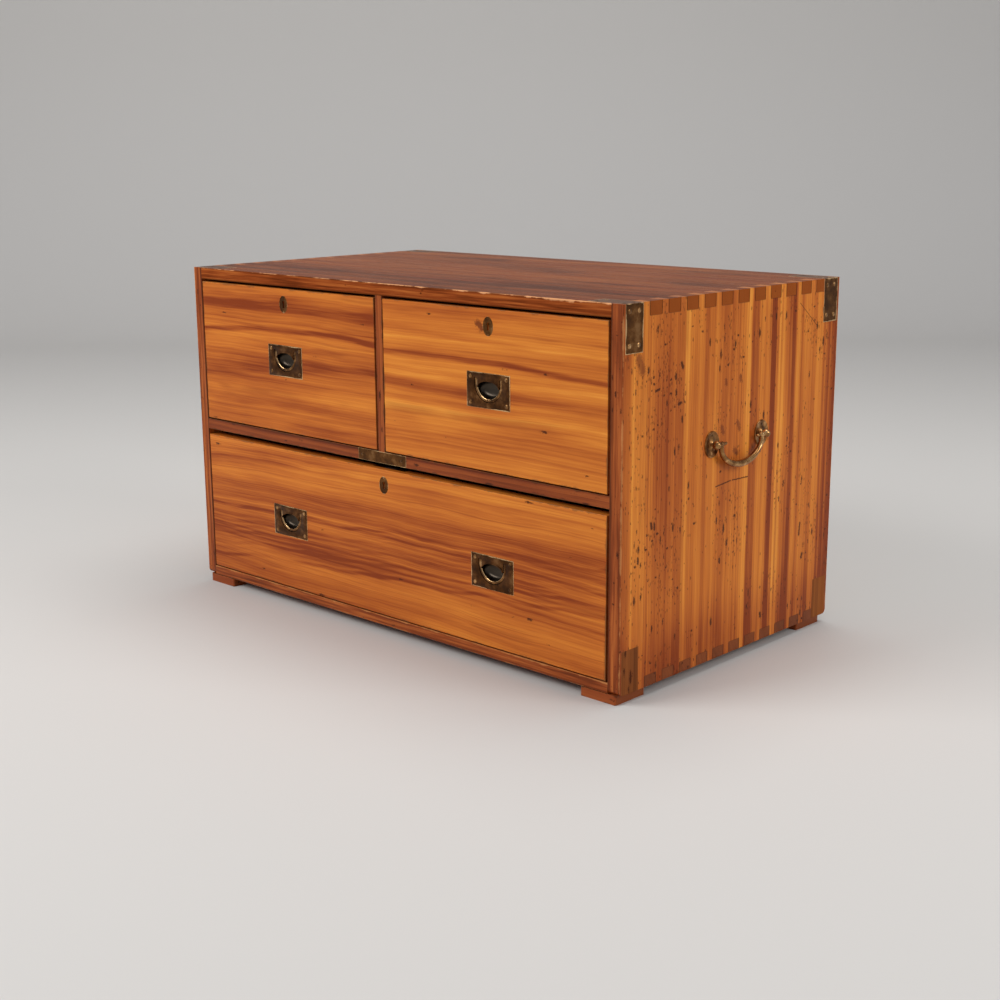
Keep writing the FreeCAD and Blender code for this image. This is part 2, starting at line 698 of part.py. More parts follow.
def make_back_boards():
    """Three back boards, one above the other, in the rebates of the case."""
    count = 3
    height = (back_high_z - back_low_z - board_gap * (count - 1)) / count
    boards = []
    for i in range(count):
        board = doc.addObject("Part::Box", "back_board_%d" % i)
        bind(board, "Length", (back_half - board_gap) * 2)
        bind(board, "Width", back_thick)
        bind(board, "Height", height)
        place(board, board_gap - back_half, back_face, back_low_z + (height + board_gap) * i)
        boards.append(board)
    group = doc.addObject("Part::Compound", "back_board_group")
    group.Links = boards
    return keep("back_boards", group)


groove_mid = rail_low + rail_thick / 2
rail_rear = front_y + rail_depth


def make_mid_rail():
    """Rail between the two rows: stub tenons, groove, and rooms for strap, upright and bolt."""
    body = new_body("mid_rail")
    box_pad(body, "rail", (-inner_half, front_y, rail_low), (inner_half, rail_rear, rail_top))
    for side, label in ((1, "right"), (-1, "left")):
        box_pad(body, label + "_tenon",
                (outward(side, inner_half), front_y + tenon_front + glue_line,
                 rail_low + tenon_shoulder + glue_line),
                (outward(side, inner_half + rail_tenon - glue_line),
                 rail_rear - tenon_back - glue_line, rail_top - tenon_shoulder - glue_line))
    box_pocket(body, "dust_groove",
               (-inner_half, rail_rear - housing, groove_mid - dust_thick / 2 - dust_gap),
               (inner_half, rail_rear, groove_mid + dust_thick / 2 + dust_gap))
    box_pocket(body, "upright_housing",
               (upright_left, front_y + housing_stop, rail_top - housing),
               (upright_right, rail_rear, rail_top))
    strap_room = strap_length / 2 + plate_gap
    box_pocket(body, "strap_room", (partition_shift - strap_room, front_y, rail_low),
               (partition_shift + strap_room, front_y + strap_thick, rail_top))
    cut_bolt_mortise(body, "bolt_mortise", long_centre, rail_low)
    return keep("mid_rail", body)


def make_partition():
    """Upright between the short drawers, housed in the top board and the rail."""
    body = new_body("centre_partition")
    half = partition_thick / 2
    box_pad(body, "upright", (-half, front_y, rail_top), (half, back_face, under_top))
    box_pad(body, "top_tongue", (glue_line - half, front_y + housing_stop + glue_line, under_top),
            (half - glue_line, back_face, under_top + housing - glue_line))
    box_pad(body, "rail_tongue",
            (glue_line - half, front_y + housing_stop + glue_line, rail_top - housing + glue_line),
            (half - glue_line, rail_rear, rail_top))
    place(body, partition_shift)
    return keep("centre_partition", body)


def make_runner(node, low_x, high_x, housed, groove_sides):
    """Drawer runner with a tongue into the rail and grooves for the thin boards."""
    body = new_body(node)
    box_pad(body, "runner", (low_x, rail_rear, rail_low), (high_x, back_face, rail_top))
    box_pad(body, "tongue", (low_x, rail_rear - housing + glue_line, groove_mid - dust_thick / 2),
            (high_x, rail_rear, groove_mid + dust_thick / 2))
    for label, edge, into in groove_sides:
        box_pocket(body, label + "_groove",
                   (edge, rail_rear - housing, groove_mid - dust_thick / 2 - dust_gap),
                   (edge + into, back_face, groove_mid + dust_thick / 2 + dust_gap))
    if housed is not None:
        low, high = housed
        box_pad(body, "housed_edge", (low, rail_rear + glue_line, rail_low + glue_line),
                (high, back_face, rail_top - glue_line))
    return body


def make_side_runners():
    """The two runners beside the ends, glued into their housings."""
    runners = []
    for side, label in ((1, "right"), (-1, "left")):
        inner = outward(side, inner_half - runner_width)
        outer = outward(side, inner_half)
        housed = (outer, outward(side, inner_half + housing - glue_line))
        grooves = [("inner", inner, outward(side, housing))]
        runners.append(make_runner("runner_" + label, inner, outer, housed, grooves))
    group = doc.addObject("Part::Compound", "runner_group")
    group.Links = runners
    return keep("side_runners", group)


def make_centre_runner():
    """The wide runner under the upright."""
    half = centre_width / 2
    grooves = [("right", half, -housing), ("left", -half, housing)]
    return keep("centre_runner", make_runner("centre_runner", -half, half, None, grooves))


def make_dust_panels():
    """Thin boards that close the space between the rows of drawers."""
    boards = []
    low = centre_width / 2 - housing + dust_end_gap
    high = inner_half - runner_width + housing - dust_end_gap
    front = rail_rear - housing + dust_end_gap
    for side, label in ((1, "right"), (-1, "left")):
        board = doc.addObject("Part::Box", "dust_board_" + label)
        bind(board, "Length", high - low)
        bind(board, "Width", back_face - front)
        bind(board, "Height", dust_thick)
        place(board, low if side > 0 else -high, front, groove_mid - dust_thick / 2)
        boards.append(board)
    group = doc.addObject("Part::Compound", "dust_group")
    group.Links = boards
    return keep("dust_panels", group)


def make_drawer_stops():
    """Small blocks on the rail and the bottom board that the drawer fronts meet."""
    blocks = []
    rows = [(left_centre, left_width, rail_top), (right_centre, right_width, rail_top),
            (long_centre, long_width, base_top)]
    for centre, width, level in rows:
        reach = width / 2 - stop_inset
        for side in (-1, 1):
            block = doc.addObject("Part::Box", "stop_block_%d" % len(blocks))
            bind(block, "Length", stop_width)
            bind(block, "Width", stop_depth)
            bind(block, "Height", stop_height)
            place(block, centre + reach * side - stop_width / 2, drawer_y + front_thick, level)
            blocks.append(block)
    group = doc.addObject("Part::Compound", "stop_group")
    group.Links = blocks
    return keep("drawer_stops", group)


def make_foot(side, rear):
    """Small square block foot with rounded corners."""
    node = "foot_%s_%s" % ("rear" if rear else "front", "right" if side > 0 else "left")
    body = new_body(node)
    box_pad(body, "block", (-foot_width / 2, -foot_depth / 2, Size.of(0)),
            (foot_width / 2, foot_depth / 2, foot_height))
    upright = [name for name in edges_where(body.Shape, lambda p: True)
               if abs(body.Shape.getElement(name).tangentAt(0).z) > 0.9]
    dress(body, "Fillet", "corners", upright, foot_round)
    y = half_depth - foot_rear - foot_depth / 2 if rear else front_y + foot_front + foot_depth / 2
    place(body, outward(side, half_width - foot_inset - foot_width / 2), y, 0)
    return keep(node, body)


def make_bracket(side, rear):
    """Brass corner plate, folded over the top edge of the end."""
    node = "corner_plate_%s_%s" % ("rear" if rear else "front", "right" if side > 0 else "left")
    body = new_body(node)
    sketch = new_sketch(body, "section", "XZ", 0)
    far = outward(side, -plate_leg)
    inner = outward(side, -plate_thick)
    draw_polygon(sketch, [(far, -plate_thick), (inner, -plate_thick), (inner, -plate_leg),
                          (0, -plate_leg), (0, 0), (far, 0)])
    pad(body, "plate", sketch, plate_width, "XZ")
    fold = edges_where(body.Shape, lambda p: abs(p.x) < 0.01 and abs(p.z) < 0.01)
    dress(body, "Fillet", "fold", fold, edge_round)
    place(body, outward(side, half_width), plate_front(rear), case_top)
    return keep(node, body)


def make_patches():
    """Wood patches where the bottom corner plates are lost."""
    patches = []
    for side in (1, -1):
        for rear in (False, True):
            body = new_body("patch_%d" % len(patches))
            y = plate_front(rear)
            box_pad(body, "patch", (outward(side, half_width - patch_thick), y, foot_height),
                    (outward(side, half_width), y + plate_width, foot_height + patch_height))
            round_corner(body, "corner", side, rear, patch_thick)
            patches.append(body)
    group = doc.addObject("Part::Compound", "patch_group")
    group.Links = patches
    return keep("corner_patches", group)


def make_strap():
    """Brass strap let into the front of the rail under the upright."""
    body = new_body("rail_strap")
    box_pad(body, "strap", (-strap_length / 2, front_y, rail_low),
            (strap_length / 2, front_y + strap_thick, rail_top))
    place(body, partition_shift)
    return keep("rail_strap", body)


# The four handle posts: (side, y)
POSTS = [(side, post_spread * way) for side in (1, -1) for way in (-1, 1)]


def turn_to_side(thing, side):
    """Turn a piece made for the right end so that it faces out of its own end."""
    angle = 0 if side > 0 else 180
    turn = FreeCAD.Rotation(FreeCAD.Vector(0, 0, 1), angle)
    thing.Placement = FreeCAD.Placement(FreeCAD.Vector(0, 0, 0), turn)


def make_roses():
    """Oval rose plates under the handle posts, with bevelled rims."""
    plates = []
    for number, (side, y) in enumerate(POSTS):
        body = new_body("rose_%d" % number)
        sketch = new_sketch(body, "oval", "YZ", 0)
        draw_oval(sketch, rose_across, rose_up)
        pad(body, "plate", sketch, rose_thick, "YZ")
        rim = ["Edge%d" % (i + 1) for i, edge in enumerate(body.Shape.Edges)
               if near(edge.BoundBox.XMin, rose_thick)]
        dress(body, "Chamfer", "rim", rim, rose_bevel)
        hole = new_sketch(body, "hole_circle", "YZ", 0)
        draw_circle(hole, 0, 0, shank_round + shank_gap)
        pocket(body, "hole", hole, rose_thick, "YZ")
        turn_to_side(body, side)
        place(body, outward(side, half_width), y, handle_z)
        plates.append(body)
    group = doc.addObject("Part::Compound", "rose_group")
    group.Links = plates
    return keep("handle_roses", group)


def cylinder(name, radius, height, direction, x=0, y=0, z=0):
    """A round bar from a point along a direction."""
    bar = doc.addObject("Part::Cylinder", name)
    bind(bar, "Radius", radius)
    bind(bar, "Height", height)
    turn = FreeCAD.Rotation(FreeCAD.Vector(0, 0, 1), FreeCAD.Vector(*direction))
    bar.Placement = FreeCAD.Placement(FreeCAD.Vector(0, 0, 0), turn)
    return place(bar, x, y, z)


def cone(name, wide, thin, length, direction, y=0, z=0):
    """A tapered bar from a point in the middle plane along a direction."""
    bar = doc.addObject("Part::Cone", name)
    bind(bar, "Radius1", wide)
    bind(bar, "Radius2", thin)
    bind(bar, "Height", length)
    turn = FreeCAD.Rotation(FreeCAD.Vector(0, 0, 1), FreeCAD.Vector(*direction))
    bar.Placement = FreeCAD.Placement(FreeCAD.Vector(0, 0, 0), turn)
    return place(bar, 0, y, z)


def fuse(name, shapes):
    joined = doc.addObject("Part::MultiFuse", name)
    joined.Shapes = shapes
    return joined


def cut(name, base, tool):
    result = doc.addObject("Part::Cut", name)
    result.Base = base
    result.Tool = tool
    return result


# The places on a post's ball where its profile turns, in degrees from the neck, and how far
# from its middle the neck meets it, as a share of its radius
BALL_TURNS = (62, 118, 156)
BALL_ROOT = 0.8


def make_posts():
    """Ball-headed handle posts whose shanks pass through the end boards."""
    posts = []
    for number, (side, y) in enumerate(POSTS):
        body = new_body("post_%d" % number)
        profile = new_sketch(body, "profile", "XY", 0)
        low = glue_line - side_thick
        points = [(low, 0), (low, shank_round), (rose_thick, shank_round),
                  (rose_thick, neck_round), (post_out - ball_round * BALL_ROOT, neck_round)]
        for turn in BALL_TURNS:
            bend = math.radians(turn)
            points.append((post_out - ball_round * math.cos(bend), ball_round * math.sin(bend)))
        points.append((points[-1][0], 0))
        draw_polygon(profile, points)
        turned = body.newObject("PartDesign::Revolution", "turned")
        turned.Profile = profile
        turned.ReferenceAxis = (origin_feature(body, "X_Axis"), [""])
        settle(body, turned, True)
        bore = new_sketch(body, "bore_circle", "XZ", ball_round * -2)
        draw_circle(bore, post_out, 0, spindle_round + spindle_gap)
        pocket(body, "bore", bore, ball_round * 4, "XZ")
        turn_to_side(body, side)
        place(body, outward(side, half_width), y, handle_z)
        posts.append(body)
    group = doc.addObject("Part::Compound", "post_group")
    group.Links = posts
    return keep("handle_posts", group)


def make_nuts():
    """Square nuts sunk into the inner faces of the end boards."""
    nuts = []
    for number, (side, y) in enumerate(POSTS):
        name = "nut_%d_" % number
        block = doc.addObject("Part::Box", name + "block")
        bind(block, "Length", nut_thick)
        bind(block, "Width", nut_across)
        bind(block, "Height", nut_across)
        place(block, nut_sink - side_thick - nut_thick, nut_across / -2, nut_across / -2)
        bore = cylinder(name + "bore", shank_round + glue_line, side_thick * 2, (1, 0, 0),
                        x=side_thick * -2)
        nut = cut(name + "bored", block, bore)
        turn_to_side(nut, side)
        place(nut, outward(side, half_width), y, handle_z)
        nuts.append(nut)
    group = doc.addObject("Part::Compound", "nut_group")
    group.Links = nuts
    return keep("handle_nuts", group)


# A drop handle: lengths of its loft, and the shares of its arm's radius that give the height of
# the arm's top, the height of the cap on it and the small ends of cap and finial
BAIL_STEPS = 10
ARM_TOP = 0.8
CAP_HEIGHT = 0.35
SMALL_END = 0.55


def make_bail_arch(node):
    """The bent bar of a drop handle: a half oval that swells towards its grip."""
    rings = []
    drop = bail_drop - knuckle
    for i in range(BAIL_STEPS + 1):
        turn = math.pi * i / BAIL_STEPS
        ring = doc.addObject("Part::Circle", "%s_ring_%d" % (node, i))
        bind(ring, "Radius", bail_thin + (bail_thick - bail_thin) * math.sin(turn) ** 1.5)
        across = bail_reach * math.sin(turn)
        along = drop * math.cos(turn)
        angle = Size(math.degrees(math.atan2(across.value, along.value)),
                     "atan2(" + across.text + "; " + along.text + ")")
        tilt = FreeCAD.Rotation(FreeCAD.Vector(1, 0, 0), angle.value + 1)
        ring.Placement = FreeCAD.Placement(FreeCAD.Vector(0, 0, 0), tilt)
        bind(ring, "Placement.Rotation.Angle", angle)
        place(ring, 0, bail_reach * -math.cos(turn), drop * -math.sin(turn) - knuckle)
        rings.append(ring)
    arch = doc.addObject("Part::Loft", node + "_arch")
    arch.Sections = rings
    arch.Solid = True
    arch.Ruled = True
    return arch


def make_handle(side, node):
    """Drop handle: the bent bar with its spindles in the posts and a finial inside each arm."""
    pieces = [make_bail_arch(node)]
    spindle_length = post_spread + ball_round + spindle_proud - bail_reach
    end = bail_thin * SMALL_END
    top = bail_thin * ARM_TOP
    for way, label in ((-1, "front"), (1, "rear")):
        name = "%s_%s_" % (node, label)
        arm_y = bail_reach * way
        pieces.append(cylinder(name + "end", bail_thin, knuckle + top, (0, 0, 1), y=arm_y,
                               z=-knuckle))
        pieces.append(cone(name + "cap", bail_thin, end, bail_thin * CAP_HEIGHT, (0, 0, 1),
                           arm_y, top))
        pieces.append(cylinder(name + "spindle", spindle_round, spindle_length, (0, way, 0),
                               y=arm_y))
        pieces.append(cone(name + "finial", finial_round, end, finial_length, (0, -way, 0),
                           arm_y))
    handle = fuse(node + "_handle", pieces)
    place(handle, outward(side, half_width + post_out), 0, handle_z)
    return keep(node, handle)


# Shapes that a drawer front and what it carries share, in the drawer's own frame: the middle
# of the lower edge of its face, +Y into the case
arch_outer = ring_outer + ring_gap
arch_inner = ring_outer - ring_band - ring_gap
ring_pivot = ring_rise + ring_arm
arch_top = ring_pivot + ring_head + ring_gap
pivot_y = ring_sink + ring_thick / 2
groove_depth = ring_sink + ring_thick + groove_room
boss_thick = groove_depth + groove_floor
boss_half = arch_outer + pivot_length + boss_end
boss_low = arch_outer - ring_rise + boss_under
boss_high = arch_top + boss_over
bowl_across = arch_inner - bowl_land
bowl_up = arch_inner - ring_rise + bowl_rise - bowl_sill
# The plate's two layers: name, half width, below and above its middle, and depth
PULL_LAYERS = [
    ("flange", boss_half + flange_end, boss_low + flange_rim, boss_high + flange_rim, pull_thick),
    ("middle", boss_half, boss_low, boss_high, boss_thick),
]


def make_drawer_front(name, width, top, pulls):
    """Drawer front: lapped dovetail sockets, groove, rooms for pulls, lock and keyhole."""
    body = new_body(name + "_front")
    half = width / 2
    box_pad(body, "front", (-half, 0, front_lift), (half, front_thick, top))
    rims = edges_where(body.Shape, lambda p: abs(p.y) < 0.01)
    dress(body, "Fillet", "arris", rims, front_bevel)
    side_top = top - side_drop
    pitch = side_top / FRONT_TAILS
    tip_half = (pitch - drawer_pin) / 2 + glue_line
    root_half = tip_half - (front_thick - front_lap) * tail_slope
    level = pitch / 2
    tip_y = front_lap - glue_line
    for side, label in ((1, "right"), (-1, "left")):
        inner = outward(side, half - lining_thick - glue_line)
        sketch = new_sketch(body, label + "_tail_outline", "YZ", inner)
        draw_polygon(sketch, [(tip_y, level - tip_half), (front_thick, level - root_half),
                              (front_thick, level + root_half), (tip_y, level + tip_half)])
        socket = pocket(body, label + "_socket", sketch, lining_thick + glue_line, "YZ", side)
        repeat(body, label + "_sockets", [socket], "Z", pitch * (FRONT_TAILS - 1), FRONT_TAILS,
               False)
    groove_half = half - lining_thick + floor_groove
    box_pocket(body, "floor_groove", (-groove_half, front_thick - floor_groove, floor_lift),
               (groove_half, front_thick, floor_lift + floor_thick + floor_gap))
    for number, (x, z) in enumerate(pulls):
        cut_pull_room(body, "pull_%d" % number, x, z)
    lock_half = lock_width / 2 + plate_gap
    box_pocket(body, "lock_room", (-lock_half, lock_face, top - lock_height - plate_gap),
               (lock_half, front_thick, top))
    selvedge_half = (lock_width + selvedge_extra) / 2 + plate_gap
    box_pocket(body, "selvedge_room", (-selvedge_half, lock_face, top - selvedge_thick),
               (selvedge_half, front_thick, top))
    key_z = top - key_level
    shield = new_sketch(body, "shield_oval", "XZ", 0)
    draw_oval(shield, shield_across + plate_gap / 2, shield_up + plate_gap / 2, key_z)
    pocket(body, "shield_room", shield, shield_thick, "XZ")
    cut_keyhole(body, shield_thick, lock_face - shield_thick, key_z)
    return keep(name + "_front", body)


def cut_keyhole(body, at, depth, middle):
    """A keyhole with a round top and a straight slot below it."""
    top = new_sketch(body, "key_circle", "XZ", at)
    draw_circle(top, 0, middle + key_rise, key_round)
    pocket(body, "key_round_hole", top, depth, "XZ")
    slot = new_sketch(body, "key_slot_outline", "XZ", at)
    draw_box(slot, key_slot / -2, middle + key_rise - key_drop, key_slot / 2, middle + key_rise)
    pocket(body, "key_slot_hole", slot, depth, "XZ")


def cut_pull_room(body, name, x, z):
    """Steps in a drawer front for the flange, the thick middle and the bowl of a pull."""
    behind = {"flange": 0, "middle": plate_gap}
    for label, half, low, high, depth in PULL_LAYERS:
        box_pocket(body, name + "_" + label, (x - half - plate_gap, 0, z - low - plate_gap),
                   (x + half + plate_gap, depth + behind[label], z + high + plate_gap))
    half = bowl_across + bowl_wall + bowl_room
    high = bowl_up + bowl_wall + bowl_room
    box_pocket(body, name + "_bowl", (x - half, 0, z + bowl_rise - high),
               (x + half, bowl_depth + bowl_wall + bowl_room, z + bowl_rise + high))


def make_drawer_side(name, side, width, top):
    """Drawer side: tails at the front, sockets for the back's pins, groove for the bottom."""
    node = "%s_side_%s" % (name, "right" if side > 0 else "left")
    body = new_body(node)
    side_top = top - side_drop
    inner = outward(side, width / 2 - lining_thick)
    outer = outward(side, width / 2)
    box_pad(body, "side", (inner, front_thick, Size.of(0)), (outer, drawer_depth, side_top))
    pitch = side_top / FRONT_TAILS
    tip_half = (pitch - drawer_pin) / 2
    root_half = tip_half - (front_thick - front_lap) * tail_slope
    level = pitch / 2
    outline = new_sketch(body, "tail_outline", "YZ", inner)
    draw_polygon(outline, [(front_lap, level - tip_half), (front_thick, level - root_half),
                           (front_thick, level + root_half), (front_lap, level + tip_half)])
    tail = pad(body, "tail", outline, lining_thick, "YZ", side)
    repeat(body, "tails", [tail], "Z", pitch * (FRONT_TAILS - 1), FRONT_TAILS, True)
    pins = new_sketch(body, "pin_outline", "YZ", inner)
    draw_back_pin(pins, top, glue_line)
    socket = pocket(body, "pin_socket", pins, lining_thick, "YZ", side)
    repeat(body, "pin_sockets", [socket], "Z", back_pin_run(top), BACK_PINS, False)
    box_pocket(body, "floor_groove", (inner, front_thick - floor_groove, floor_lift),
               (outward(side, width / 2 - lining_thick + floor_groove), drawer_depth,
                floor_lift + floor_thick + floor_gap))
    return keep(node, body)


back_pin_half = drawer_back_pin / 2 + lining_thick * tail_slope
drawer_back_low = floor_lift + floor_thick


def drawer_back_high(top):
    return top - side_drop - back_drop


def back_pin_run(top):
    """From the middle of the lowest pin of a drawer back to that of its highest."""
    return drawer_back_high(top) - drawer_back_low - back_pin_half * 2


def draw_back_pin(sketch, top, gap):
    """The lowest pin of a drawer back seen from the side, grown by gap for its socket."""
    level = drawer_back_low + back_pin_half
    thin = drawer_back_pin / 2 + gap
    wide = back_pin_half + gap
    root = drawer_depth - lining_thick
    draw_polygon(sketch, [(root, level - wide), (drawer_depth, level - thin),
                          (drawer_depth, level + thin), (root, level + wide)])


def make_drawer_back(name, width, top):
    """Drawer back: stands on the drawer bottom between the sides, with pins through them."""
    body = new_body(name + "_back")
    inner = width / 2 - lining_thick
    box_pad(body, "back", (-inner, drawer_depth - lining_thick, drawer_back_low),
            (inner, drawer_depth, drawer_back_high(top)))
    for side, label in ((1, "right"), (-1, "left")):
        outline = new_sketch(body, label + "_pin_outline", "YZ", outward(side, inner))
        draw_back_pin(outline, top, Size.of(0))
        pin = pad(body, label + "_pin", outline, lining_thick, "YZ", side)
        repeat(body, label + "_pins", [pin], "Z", back_pin_run(top), BACK_PINS, True)
    return keep(name + "_back", body)


def make_drawer_bottom(name, width):
    """Thin drawer bottom in the grooves of the front and sides."""
    body = new_body(name + "_bottom")
    half = width / 2 - lining_thick + floor_groove - floor_gap
    box_pad(body, "panel", (-half, front_thick - floor_groove + floor_gap, floor_lift),
            (half, drawer_depth, floor_lift + floor_thick))
    return keep(name + "_bottom", body)


def make_shield(name):
    """Oval brass plate round the keyhole, let in flush."""
    body = new_body(name + "_key_plate")
    oval = new_sketch(body, "oval", "XZ", 0)
    draw_oval(oval, shield_across, shield_up)
    pad(body, "plate", oval, shield_thick, "XZ")
    cut_keyhole(body, Size.of(0), shield_thick, Size.of(0))
    return keep(name + "_key_plate", body)


def make_lock(name):
    """Lock case with its selvedge, the slot for the bolt and the pin that the key turns on."""
    body = new_body(name + "_lock_case")
    half = lock_width / 2
    lip = (lock_width + selvedge_extra) / 2
    back = lock_face + lock_thick
    box_pad(body, "case", (-half, lock_face, -lock_height), (half, back, Size.of(0)))
    box_pad(body, "selvedge", (-lip, lock_face, -selvedge_thick), (lip, back, Size.of(0)))
    box_pocket(body, "bolt_slot",
               (-bolt_width / 2 - bolt_gap, bolt_y - bolt_thick / 2 - bolt_gap, -bolt_length - bolt_gap),
               (bolt_width / 2 + bolt_gap, bolt_y + bolt_thick / 2 + bolt_gap, Size.of(0)))
    cut_keyhole(body, lock_face, key_depth, -key_level)
    root = new_sketch(body, "pin_circle", "XZ", lock_face + key_depth)
    draw_circle(root, 0, key_rise - key_level, lock_pin)
    pad(body, "key_pin", root, lock_face + key_depth - lock_pin_tip, "XZ", -1)
    return keep(name + "_lock_case", body)


def make_bolt(name):
    """Lock bolt, drawn back inside its case."""
    body = new_body(name + "_lock_bolt")
    box_pad(body, "bolt", (bolt_width / -2, bolt_y - bolt_thick / 2, -bolt_length),
            (bolt_width / 2, bolt_y + bolt_thick / 2, Size.of(0)))
    return keep(name + "_lock_bolt", body)


def cut_bowl(body, ovals):
    """Cut the finger bowl through ovals that lie one behind the other: (across, up, y)."""
    sketches = []
    for number, (across, up, y) in enumerate(ovals):
        sketches.append(new_sketch(body, "bowl_oval_%d" % number, "XZ", y))
        draw_oval(sketches[-1], across, up, bowl_rise)
    bowl = body.newObject("PartDesign::SubtractiveLoft", "bowl")
    bowl.Profile = sketches[0]
    bowl.Sections = sketches[1:]
    bowl.Ruled = True
    settle(body, bowl, False)


def make_pull_plate(node):
    """Pull plate: flange, thick middle with the bail's groove, finger bowl and pivot holes."""
    body = new_body(node)
    floor_across = bowl_across - bowl_floor_in
    floor_up = bowl_up - bowl_floor_in
    back = new_sketch(body, "bowl_back_oval", "XZ", 0)
    draw_oval(back, bowl_across + bowl_wall, bowl_up + bowl_wall, bowl_rise)
    pad(body, "bowl_back", back, bowl_depth + bowl_wall, "XZ")
    for label, half, low, high, depth in PULL_LAYERS:
        box_pad(body, label, (-half, Size.of(0), -low), (half, depth, high))
    cut_bowl(body, [(bowl_across, bowl_up, Size.of(0)),
                    (bowl_across - bowl_taper, bowl_up - bowl_taper, bowl_step),
                    (floor_across, floor_up, bowl_depth)])
    groove = new_sketch(body, "groove_outline", "XZ", 0)
    draw_arch(groove, arch_outer, arch_inner, ring_rise, arch_top)
    pocket(body, "groove", groove, groove_depth, "XZ")
    for side, label in ((1, "right"), (-1, "left")):
        hole = new_sketch(body, label + "_pivot_circle", "YZ", outward(side, ring_outer))
        draw_circle(hole, pivot_y, ring_pivot, pivot_round + pivot_gap)
        pocket(body, label + "_pivot_hole", hole, pivot_length + ring_gap, "YZ", side)
    return keep(node, body)


def make_pull_bail(node):
    """Bail of a pull: a bent band with softened front edges and a pivot at each end."""
    body = new_body(node)
    band = new_sketch(body, "band_outline", "XZ", ring_sink)
    draw_arch(band, ring_outer, ring_outer - ring_band, ring_rise, ring_pivot + ring_head)
    pad(body, "band", band, ring_thick, "XZ")
    rims = ["Edge%d" % (i + 1) for i, edge in enumerate(body.Shape.Edges)
            if near(edge.BoundBox.YMax, ring_sink)]
    dress(body, "Chamfer", "soft_edges", rims, ring_soft)
    for side, label in ((1, "right"), (-1, "left")):
        root = outward(side, ring_outer - ring_band / 2)
        circle = new_sketch(body, label + "_pivot_circle", "YZ", root)
        draw_circle(circle, pivot_y, ring_pivot, pivot_round)
        pad(body, label + "_pivot", circle, ring_band / 2 + pivot_length, "YZ", side)
    return keep(node, body)


def make_drawer(name, width, top, centre, level, long_drawer):
    """One drawer with its lining, lock and pulls, placed in the closed case."""
    pull_z = (top + front_lift) / 2
    pulls = [("", Size.of(0))]
    if long_drawer:
        pull_z = pull_z - long_pull_drop
        pulls = [("_left", -long_pull_reach), ("_right", long_pull_reach)]
    parts = [make_drawer_front(name, width, top, [(x, pull_z) for _, x in pulls])]
    for side in (-1, 1):
        parts.append(make_drawer_side(name, side, width, top))
    parts.append(make_drawer_back(name, width, top))
    parts.append(make_drawer_bottom(name, width))
    for piece in parts:
        place(piece, centre, drawer_y, level)
    place(make_shield(name), centre, drawer_y, level + top - key_level)
    place(make_lock(name), centre, drawer_y, level + top)
    place(make_bolt(name), centre, drawer_y, level + top)
    for label, x in pulls:
        place(make_pull_plate(name + "_pull_plate" + label), centre + x, drawer_y, level + pull_z)
        place(make_pull_bail(name + "_pull_bail" + label), centre + x, drawer_y, level + pull_z)


make_end_board(-1, "side_left")
make_end_board(1, "side_right")
make_top_panel()
make_bottom_panel()
make_back_boards()
make_mid_rail()
make_partition()
make_side_runners()
make_centre_runner()
make_dust_panels()
make_drawer_stops()
for foot_side in (-1, 1):
    for foot_rear_end in (False, True):
        make_foot(foot_side, foot_rear_end)
        make_bracket(foot_side, foot_rear_end)
make_patches()
make_strap()
make_roses()
make_posts()
make_nuts()
make_handle(-1, "carry_handle_left")
make_handle(1, "carry_handle_right")
make_drawer("drawer_left", left_width, short_top, left_centre, rail_top, False)
make_drawer("drawer_right", right_width, short_top, right_centre, rail_top, False)
make_drawer("drawer_long", long_width, long_top, long_centre, base_top, True)

doc.recompute()
for item in doc.Objects:
    if "Invalid" in item.State or "Error" in item.State:
        raise RuntimeError("%s is in the state %s" % (item.Name, item.State))
for node, item in nodes.items():
    if item.Shape.isNull() or not item.Shape.isValid() or not item.Shape.Solids:
        raise RuntimeError("%s has no sound shape" % node)

os.makedirs("parts", exist_ok=True)
for node, item in nodes.items():
    item.Shape.exportStep("parts/" + node + ".step")
print(len(nodes), "nodes written")
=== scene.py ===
# %% [markdown]
# # A campaign chest
# The chest is the lower half of a two-part camphor wood chest. Its boards, joints and drawers come
# from the packed model as they are. This lesson gives them their wood and brass, and makes the
# rounded brass fittings again as smooth meshes: recessed pulls, drop handles, posts, roses, screws.

import json
import math
import random

import bmesh
import bpy
from mathutils import Matrix, Quaternion, Vector

